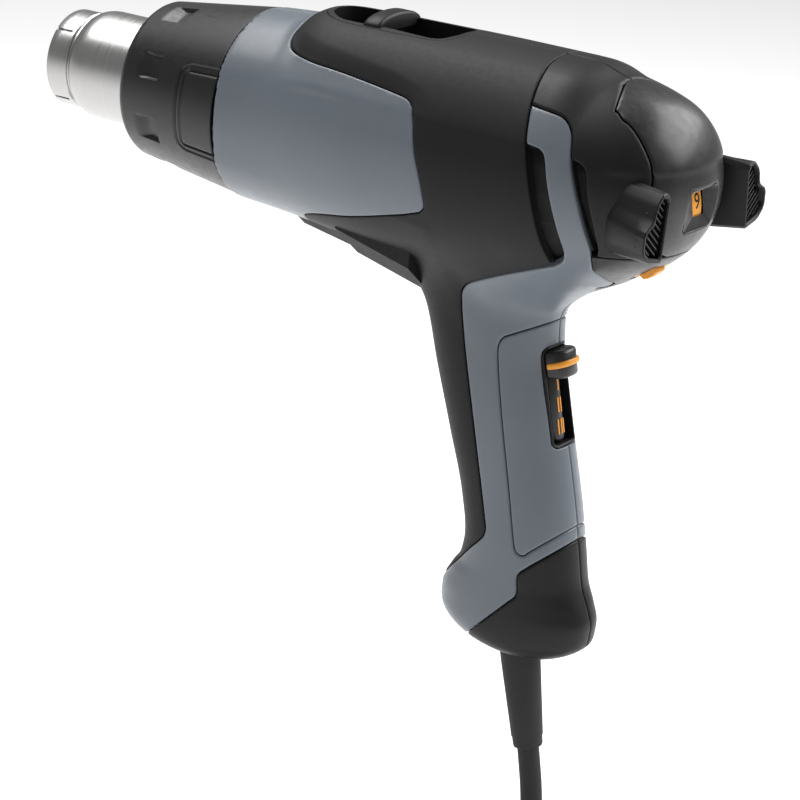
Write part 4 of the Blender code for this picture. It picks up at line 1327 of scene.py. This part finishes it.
@dataclass
class Dial:
    """The temperature wheel, its numbers, and the window that they are read through."""

    radius: float = 24.3
    tab_radius: float = 25.8
    tab: Pair = (-61.0, -46.0)
    teeth: int = 44
    first_angle: float = math.radians(10.0)
    spacing: float = math.radians(33.75)
    digit_size: float = 7.29
    digit_relief: float = 0.09
    digit_middle: float = 3.15
    knurl_middle: float = -3.3

    def rim_point(self, angle: float, y: float, radius: float) -> Point:
        """A point on the wheel: angle up from the rear, y across it."""
        return (WHEEL["x"] + radius * math.cos(angle), y, WHEEL["z"] + radius * math.sin(angle))

    def wheel(self) -> Shape:
        """The wheel, turned about its own axle."""
        r, half = self.radius, WHEEL["half"]
        profile = [(-half, 3.0), (-half, r - 1.6), (-half + 0.3, r - 1.1), (-0.5, r - 1.0),
                   (-0.35, r - 0.8), (-0.2, r - 0.15), (0.1, r), (half - 0.3, r), (half, r - 0.3),
                   (half, r - 3.0), (half - 1.2, r - 3.6), (half - 1.2, 7.0), (half, 6.4), (half, 3.0)]
        angles = np.linspace(0, math.tau, 120, endpoint=False)
        rings = [np.array([self.rim_point(a, *corner) for a in angles]) for corner in profile]
        return lofted(rings, loop=True)

    def digits(self) -> None:
        """The numbers 1 to 9 raised round the wheel's right half."""
        points, faces = [], []
        for number in range(1, 10):
            curve = bpy.data.curves.new("digit", "FONT")
            curve.body = str(number)
            curve.size = self.digit_size
            curve.align_x, curve.align_y = "CENTER", "CENTER"
            curve.extrude = self.digit_relief
            text = put("digit", curve)
            bpy.context.view_layer.update()
            mesh = bpy.data.meshes.new_from_object(text.evaluated_get(bpy.context.evaluated_depsgraph_get()))
            start = len(points)
            middle = self.first_angle + (9 - number) * self.spacing
            for vertex in mesh.vertices:
                across, up, out = vertex.co
                angle = middle + up / self.radius
                points.append(self.rim_point(angle, self.digit_middle + across, self.radius + out))
            faces += [tuple(start + i for i in polygon.vertices) for polygon in mesh.polygons]
            bpy.data.objects.remove(text)
        piece("dial_digits", (np.array(points), faces), DARK, "temperature_dial")

    def window(self) -> Shape:
        """The funnel-shaped surround between the dome and the wheel."""
        outer = rounded_ring(9.17, 6.82, 2.1) + (0.0, -0.45)
        inner = rounded_ring(3.45, 4.4, 0.7) + (2.95, 0.5)
        edge = outer * 0.93 + (0.2, 0.0)
        lip, bend = (surface_along(stacked(235.0, ring[:, 0], ring[:, 1]), REAR) - REAR * sink
                     for ring, sink in ((outer, 0.15), (edge, 0.5)))
        clear = self.radius + 0.5
        mouth = np.column_stack([WHEEL["x"] + np.sqrt(clear ** 2 - (inner[:, 1] - WHEEL["z"]) ** 2), inner])
        deep = lip - REAR * 2.6
        deep[:, 0] = np.maximum(deep[:, 0], mouth[:, 0] + 0.15)
        return lofted([lip, bend, mouth, deep], loop=True)

    def build(self) -> None:
        """Builds the wheel, its knurls and numbers, and the window."""
        piece("dial_wheel", self.wheel(), ORANGE, "temperature_dial", ("temperature_wheel",))
        places = []
        for k in range(self.teeth):
            angle = k * math.tau / self.teeth
            at = self.rim_point(angle, self.knurl_middle, self.radius - 1.2)
            places.append(Place(at, (0.0, -angle, 0.0), (1.9, 5.2, 1.7)))
        Repeat("dial_knurls", ORANGE, 0.2).build(places, "temperature_dial")
        self.digits()
        low, high = (math.radians(a) for a in self.tab)
        rings = []
        for angle, top in ((low, -1.0), (low + 0.02, -0.3), (low + 0.09, 0.0), (high - 0.09, 0.0),
                           (high - 0.02, -0.3), (high, -1.0)):
            rim = self.tab_radius + top
            corners = ((-5.9, 22.0), (-5.9, rim - 0.4), (-5.5, rim), (-0.7, rim), (-0.3, rim - 0.4),
                       (-0.3, 22.0))
            rings.append(np.array([self.rim_point(angle, *corner) for corner in corners]))
        piece("dial_tab", lofted(rings), ORANGE, "temperature_dial")
        piece("dial_window", self.window(), HOOD)


# ------------------------------------------------------------------ air switch
@dataclass
class AirSwitch:
    """The air switch: its bay, the marked track, and the slider with its orange band."""

    deep: float = 8.4
    half: float = 7.27
    long: float = 16.87
    middle: float = 12.0
    corner: float = 2.6
    mark_step: float = 7.3
    knob: tuple[Pair, ...] = ((-7.0, -6.0), (-1.0, -6.1), (2.2, -5.5), (4.0, -3.4), (4.6, 0.0),
                              (4.0, 3.4), (2.2, 5.5), (-1.0, 6.1), (-7.0, 6.0))
    band: tuple[Pair, ...] = ((0.0, -6.7), (2.6, -6.2), (4.7, -4.0), (5.4, 0.0), (4.7, 4.0), (2.6, 6.2),
                              (0.0, 6.7))

    def place(self, out: Array | float, down: Array | float, across: Array | float) -> Array:
        """Points in the slider's raked frame, moved along the gun."""
        c, s = math.cos(RAKE), math.sin(RAKE)
        return stacked(SLIDER_REST[0] + out * c + down * s, across, SLIDER_REST[2] + out * s - down * c)

    def bay(self) -> Shape:
        """The rounded bay that is let into the back of the handle."""
        direction = self.place(1.0, 0.0, 0.0) - SLIDER_REST
        rings = []
        for less, sink in ((0.0, 0.25), (0.35, 0.05), (0.9, 0.3)):
            ring = rounded_ring(self.long - less, self.half - less, self.corner - less)
            start = self.place(-self.deep, ring[:, 0] + self.middle, ring[:, 1])
            rings.append(surface_along(start, direction) - direction * sink)
        inner = rounded_ring(self.long - 1.0, self.half - 1.0, self.corner - 0.9)
        floor = self.place(-self.deep, inner[:, 0] + self.middle, inner[:, 1])
        outer = rounded_ring(self.long, self.half, self.corner)
        under = self.place(-self.deep - 0.9, outer[:, 0] + self.middle, outer[:, 1])
        return lofted([under, *rings, floor])

    def bar(self, profile: Sequence[Pair], low: float, high: float, less: float,
            slant: float = 0.0) -> Shape:
        """A bar of one profile along the slider's travel, with rounded ends.

        Args:
            profile: (out, across) corners of the profile.
            low: where it starts, down from the slider.
            high: where it ends.
            less: how far its ends are drawn in.
            slant: how far its outer side leans down.

        Returns:
            The points and the faces.
        """
        flat = np.array(profile, float)
        pull = flat - flat.mean(0)
        pull /= np.linalg.norm(pull, axis=1)[:, None]
        rings = []
        for at, inset in ((low, less), (low + less * 0.35, less * 0.35), (low + less, 0.0), (high - less, 0.0),
                          (high - less * 0.35, less * 0.35), (high, less)):
            ring = flat - pull * inset
            rings.append(self.place(ring[:, 0], at + slant * ring[:, 0], ring[:, 1]))
        return lofted(rings)

    def smooth(self, corners: Sequence[Pair]) -> list[Pair]:
        """A profile's corners joined by a smooth line."""
        return smooth_line([(a * MM, b * MM) for a, b in corners], 4)

    def build(self) -> None:
        """Builds the bay, the track with its marks, the slider and its band."""
        piece("air_switch_bay", self.bay(), BLACK, nodes=("switch_bay",))
        t = np.linspace(-QUARTER, QUARTER, 13)
        track = [(-8.2, -3.4), *zip(-4.6 + 2.4 * np.cos(t), 3.4 * np.sin(t)), (-8.2, 3.4)]
        piece("air_switch_track", self.bar(track, -3.8, 27.8, 1.2), HOOD, nodes=("switch_track",))
        lean = (0.0, -RAKE, 0.0)
        marks = []
        for step, count in enumerate((1, 2, 3)):
            for k in range(count):
                across = (k - (count - 1) / 2) * 1.5
                sink = 2.4 * (1 - math.sqrt(1 - (across / 3.4) ** 2))
                at = self.place(-2.15 - sink, 8.0 + self.mark_step * step, across)
                marks.append(Place(tuple(at), lean, (0.35, 0.62, 5.0)))
        Repeat("air_switch_marks", ORANGE, 0.1).build(marks, "gun")
        knob = self.bar(self.smooth(self.knob), -3.6, 5.6, 1.0)
        piece("air_knob", knob, HOOD, "air_control", ("air_slider",))
        band = self.bar([*self.smooth(self.band), (-1.5, 6.6), (-1.5, -6.6)], 0.2, 2.2, 0.5, -0.12)
        piece("air_band", band, ORANGE, "air_control", ("slider_band",))


# ------------------------------------------------------------------ cord boot, plug and screws
@dataclass
class Turned:
    """A shape turned about a slanting axis."""

    start: Array
    end: Array
    columns: int = 48

    def shape(self, profile: Sequence[Pair], flat: float = 1.0) -> Shape:
        """Turns a profile.

        Args:
            profile: (millimetres along the axis, radius) from the start.
            flat: how much narrower it is across the second direction.

        Returns:
            The points and the faces.
        """
        axis = (self.end - self.start) / np.linalg.norm(self.end - self.start)
        first = np.cross(axis, (0.0, 1.0, 0.0) if abs(axis[1]) < 0.9 else (0.0, 0.0, 1.0))
        first /= np.linalg.norm(first)
        second = np.cross(axis, first)
        t = np.linspace(0, math.tau, self.columns, endpoint=False)[:, None]
        return lofted([self.start + axis * at + r * (first * np.cos(t) * flat + second * np.sin(t))
                       for at, r in profile])


@dataclass
class Boot:
    """The cord boot, with its tapered sleeve and rounded end."""

    collar: float = 6.9
    tip: float = 5.1

    def build(self) -> None:
        """Builds the boot in place of its CAD node."""
        length, r = float(np.linalg.norm(BOOT_END - BOOT_TOP)), self.tip
        profile = [(0.0, self.collar), (2.0, self.collar), (8.0, 6.7), (20.0, 6.1),
                   (length - 4.0, r + 0.35), (length - 3.6, r + 0.1), (length - 1.0, r),
                   (length - 0.3, r - 0.2), (length, r - 0.7)]
        piece("boot", Turned(BOOT_TOP, BOOT_END).shape(profile), CORD, nodes=("cord_boot",))


@dataclass
class Plug:
    """The moulded two-pin plug on the cord's end."""

    rear: Point = (175.7, -51.0, -278.3)
    length: float = 53.0
    square: float = 0.82
    pin_reach: float = 9.5

    def build(self) -> list[Body]:
        """Builds the plug and its pins.

        Returns:
            The three pieces.
        """
        start = np.array(self.rear)
        end = start - (self.length, 0.0, 0.0)
        t = np.linspace(0, math.tau, 56, endpoint=False)
        y, z = (np.sign(v) * np.abs(v) ** self.square for v in (np.cos(t), np.sin(t)))
        rings = [stacked(start[0] - at, start[1] + y * wide, start[2] + z * high) for at, wide, high in
                 ((0, 4.6, 4.6), (0.5, 5.0, 5.0), (9, 5.4, 5.3), (10, 6.0, 5.9), (12, 6.6, 6.3), (22, 9.5, 7.6),
                  (30, 13.0, 8.6), (36, 16.4, 9.3), (44, 17.6, 9.7), (50, 17.6, 9.7), (52.2, 17.2, 9.4),
                  (53, 16.4, 8.8))]
        made = [piece("plug", lofted(rings), CORD, nodes=("power_plug",))]
        profile = [(-0.5, 2.0), (0.0, 2.0), (9.0, 2.0), (9.2, 2.4), (17.8, 2.4), (18.8, 1.9),
                   (19.2, 1.0)]
        for number, side in enumerate(Side, 1):
            base = end + (0.0, self.pin_reach * side, 0.0)
            pin = Turned(base, base - REAR, 32).shape(profile)
            made.append(piece(f"pin_{number}", pin, BRASS, nodes=(f"plug_pin_{number}",)))
        return made


@dataclass
class Screws:
    """The five housing screws with their six-lobed sockets."""

    shank: float = 1.4
    head: float = 2.7
    socket: float = 1.35
    lobe: float = 0.22

    def build(self) -> None:
        """Builds each screw in place of its CAD node."""
        t = np.linspace(0, math.tau, 48, endpoint=False)
        lobes = self.socket + self.lobe * np.cos(6 * t)
        for number, (x, z) in enumerate(SCREWS, 1):
            near, face = ((corner.y - DATUM[1]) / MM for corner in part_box(f"housing_screw_{number}"))
            rings = [stacked(x + radius * np.cos(t), y, z + radius * np.sin(t)) for y, radius in
                     ((near, 0.9), (near + 0.6, self.shank), (face - 2.2, self.shank), (face - 2.1, self.head),
                      (face - 0.5, self.head), (face - 0.1, 2.3), (face, 1.9), (face, lobes),
                      (face - 1.3, lobes * 0.92))]
            piece(f"screw_{number}", lofted(rings), SCREW_STEEL, nodes=(f"housing_screw_{number}",))


# ------------------------------------------------------------------ the cord
@dataclass
class Cord:
    """The mains cord: down from the boot into a flat coil, and out to the plug."""

    radius: float = 3.75
    centre: Point = (214.5, 0.0, -279.0)
    mean: float = 41.0
    pitch: float = 7.7
    start: float = math.radians(98.7)
    route: tuple[Point, ...] = ((208.55, 0, -199.7), (210.0, 0, -207.0), (211.6, -.3, -215.0),
                                (213.9, -2.2, -226.0), (217.2, -7.8, -238.5), (221.2, -17.2, -249.0),
                                (224.0, -29.2, -256.6), (222.6, -38.0, -260.8), (216.5, -42.0, -262.9),
                                (208.0, -42.5, -263.45))
    tail: tuple[Point, ...] = ((201.5, -49.7, -278.8), (188.0, -50.3, -278.3), (182.0, -50.8, -278.3),
                               (176.0, -51.0, -278.3))

    slots: tuple[tuple[int, int], ...] = ((1, 1), (0, 1), (-1, 1), (-1, 0), (-1, -1), (0, -1), (1, -1),
                                          (1, 0))

    def slot_of(self, turn: int) -> Array:
        """The radius and height of a turn about the coil's middle."""
        return np.array((self.mean, 0.0)) + np.array(self.slots[turn]) * self.pitch

    def coil(self) -> list[Point]:
        """The coil's centreline, clockwise seen from above."""
        lead_in = np.array((43.0, 15.55))
        step, last = math.radians(4), len(self.slots) - 1
        end = QUARTER + len(self.slots) * math.tau
        out = []
        for angle in np.arange(self.start + step, end, step):
            run = angle - self.start
            turn = min(int(run / math.tau), last)
            share = run / math.tau - turn
            here = self.slot_of(turn)
            if turn == 0 and share < 0.17:
                here = lead_in + (here - lead_in) * (ease(share, -0.04, 0.13), ease(share, 0.0, 0.17))
            elif turn < last - 1 and share > 0.83:
                here = here + (self.slot_of(turn + 1) - here) * ease(share, 0.83, 1.0)
            elif turn == last and share < 0.20:
                before = self.slot_of(turn - 1)
                here = before + (here - before) * ease(share, 0.03, 0.20)
            spoke = np.array((math.cos(angle) * here[0], -math.sin(angle) * here[0], here[1]))
            out.append(tuple(np.array(self.centre) + spoke))
        return out

    def line(self) -> Array:
        """The whole centreline in millimetres."""
        knots = [self.route[0], *self.route, *self.coil(), *self.tail, self.tail[-1]]
        p = np.array(knots, float)
        out = []
        for i in range(1, len(p) - 2):
            steps = 4 if i < len(self.route) + 1 else 1
            for t in np.arange(steps) / steps:
                v = 2 * p[i] + (p[i + 1] - p[i - 1]) * t
                v = v + (2 * p[i - 1] - 5 * p[i] + 4 * p[i + 1] - p[i + 2]) * t * t
                out.append((v + (3 * p[i] - 3 * p[i + 1] + p[i + 2] - p[i - 1]) * t ** 3) / 2)
        return np.array([*out, p[-2]])

    def build(self, carried: Sequence[Body | str]) -> Body:
        """Builds the cord in place of its CAD nodes.

        Args:
            carried: the pieces on the cord's end; not used.

        Returns:
            The curve object.
        """
        line = self.line()
        curve = bpy.data.curves.new("mains_cord", "CURVE")
        curve.dimensions = "3D"
        curve.bevel_depth = self.radius * MM
        curve.bevel_resolution = 4
        curve.use_fill_caps = True
        run = curve.splines.new("POLY")
        run.points.add(len(line) - 1)
        placed = world(line)
        run.points.foreach_set("co", np.hstack([placed, np.ones((len(placed), 1))]).ravel())
        run.use_smooth = True
        curve.materials.append(CORD.material())
        obj = put("mains_cord", curve)
        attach(obj, "gun")
        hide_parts("power_cord", "cord_coil", "cord_tail")
        return obj


# ------------------------------------------------------------------ the studio
@dataclass(frozen=True)
class Studio:
    """The camera, lamps, floor and background."""

    lens: float = 135.0
    eye: Point = (0.4644, -0.8138, 0.3377)
    right: Point = (0.8305, 0.5513, 0.0786)
    up: Point = (-0.2440, 0.2334, 0.9412)
    back: Point = (0.5005, -0.8010, 0.3284)
    floor: float = -0.1955
    reach: float = 12.0
    sky: float = 0.24

    def camera(self) -> None:
        """Adds the scene's camera."""
        data = bpy.data.cameras.new("camera")
        data.lens = self.lens
        data.sensor_width = 36.0
        data.clip_start, data.clip_end = 0.01, 60.0
        cam = put("camera", data)
        axes = Matrix((self.right, self.up, self.back)).transposed()
        cam.matrix_world = Matrix.Translation(self.eye) @ axes.to_4x4()
        bpy.context.scene.camera = cam

    def lamp(self, name: str, at: Point, size: Pair, power: float) -> None:
        """Adds one soft rectangular lamp that faces the gun.

        Args:
            name: the lamp's name.
            at: its middle, in metres.
            size: its width and height.
            power: its watts.
        """
        data = bpy.data.lights.new(name, "AREA")
        data.shape = "RECTANGLE"
        data.size, data.size_y = size
        data.energy = power
        obj = put(name, data)
        obj.location = at
        obj.rotation_euler = (-Vector(at)).to_track_quat("-Z", "Y").to_euler()

    def light(self) -> None:
        """Adds the lamps and the white background."""
        self.lamp("top_softbox", (-0.60, 0.05, 1.10), (1.1, 0.6), 13.0)
        self.lamp("rear_softbox", (0.55, 0.80, 0.85), (1.3, 0.9), 18.0)
        scene = bpy.context.scene
        scene.view_settings.view_transform = "Standard"
        scene.world = bpy.data.worlds.new("studio")
        scene.world.use_nodes = True
        tree = scene.world.node_tree
        white = (1.0, 1.0, 1.0, 1.0)
        shade = tree.nodes["Background"]
        shade.inputs["Color"].default_value = white
        shade.inputs["Strength"].default_value = self.sky
        seen = add_node(tree, "ShaderNodeBackground", {"Color": white})
        ray = tree.nodes.new("ShaderNodeLightPath")
        mix = tree.nodes.new("ShaderNodeMixShader")
        for socket, source in enumerate((ray.outputs["Is Camera Ray"], shade.outputs[0], seen.outputs[0])):
            tree.links.new(source, mix.inputs[socket])
        tree.links.new(mix.outputs[0], tree.nodes["World Output"].inputs["Surface"])

    def ground(self) -> None:
        """Adds the plain pale floor."""
        mesh = bpy.data.meshes.new("studio_floor")
        corners = ((-1, -1), (1, -1), (1, 1), (-1, 1))
        mesh.from_pydata([(x * self.reach, y * self.reach, self.floor) for x, y in corners], [], [(0, 1, 2, 3)])
        mesh.materials.append(FLOOR.material())
        put("studio_floor", mesh)


NODE_FINISHES = {
    "board_capacitor": DARK, "board_heat_sink": ALUMINIUM, "ceramic_core": CERAMIC, "control_board": BOARD,
    "element_holder": ALUMINIUM, "fan_duct": DARK, "heating_wire": WIRE, "housing_left": DARK,
    "housing_right": DARK, "intake_screen_left": DARK, "intake_screen_right": DARK, "mica_tube": MICA,
    "motor": ALUMINIUM, "motor_shaft": STEEL, "nozzle_flange": STEEL, "supply_leads": COPPER,
    "temperature_potentiometer": ALUMINIUM,
}


def dress_nodes() -> None:
    """Gives every carried-over CAD node its finish."""
    for name, obj in frame["nodes"].items():
        if obj.hide_render:
            continue
        finish = NODE_FINISHES.get(name, BLACK)
        obj.data.materials.clear()
        obj.data.materials.append(finish.material())
        log.info("%s carried over in %s", name, finish.name)


def main() -> None:
    """Builds the visual model, assembly by assembly."""
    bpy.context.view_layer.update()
    studio = Studio()
    studio.camera()
    Cord().build(Plug().build())
    studio.light()
    studio.ground()
    for part in (Covers, Nozzle, Sleeve, HangingRecess):
        part().build()
    for side in Side:
        StandFoot(side).build()
    for part in (Dial, AirSwitch, Boot, Screws):
        part().build()
    dress_nodes()


if __name__ == "__main__":
    logging.basicConfig(level=logging.INFO, format="%(name)s: %(message)s")
    main()
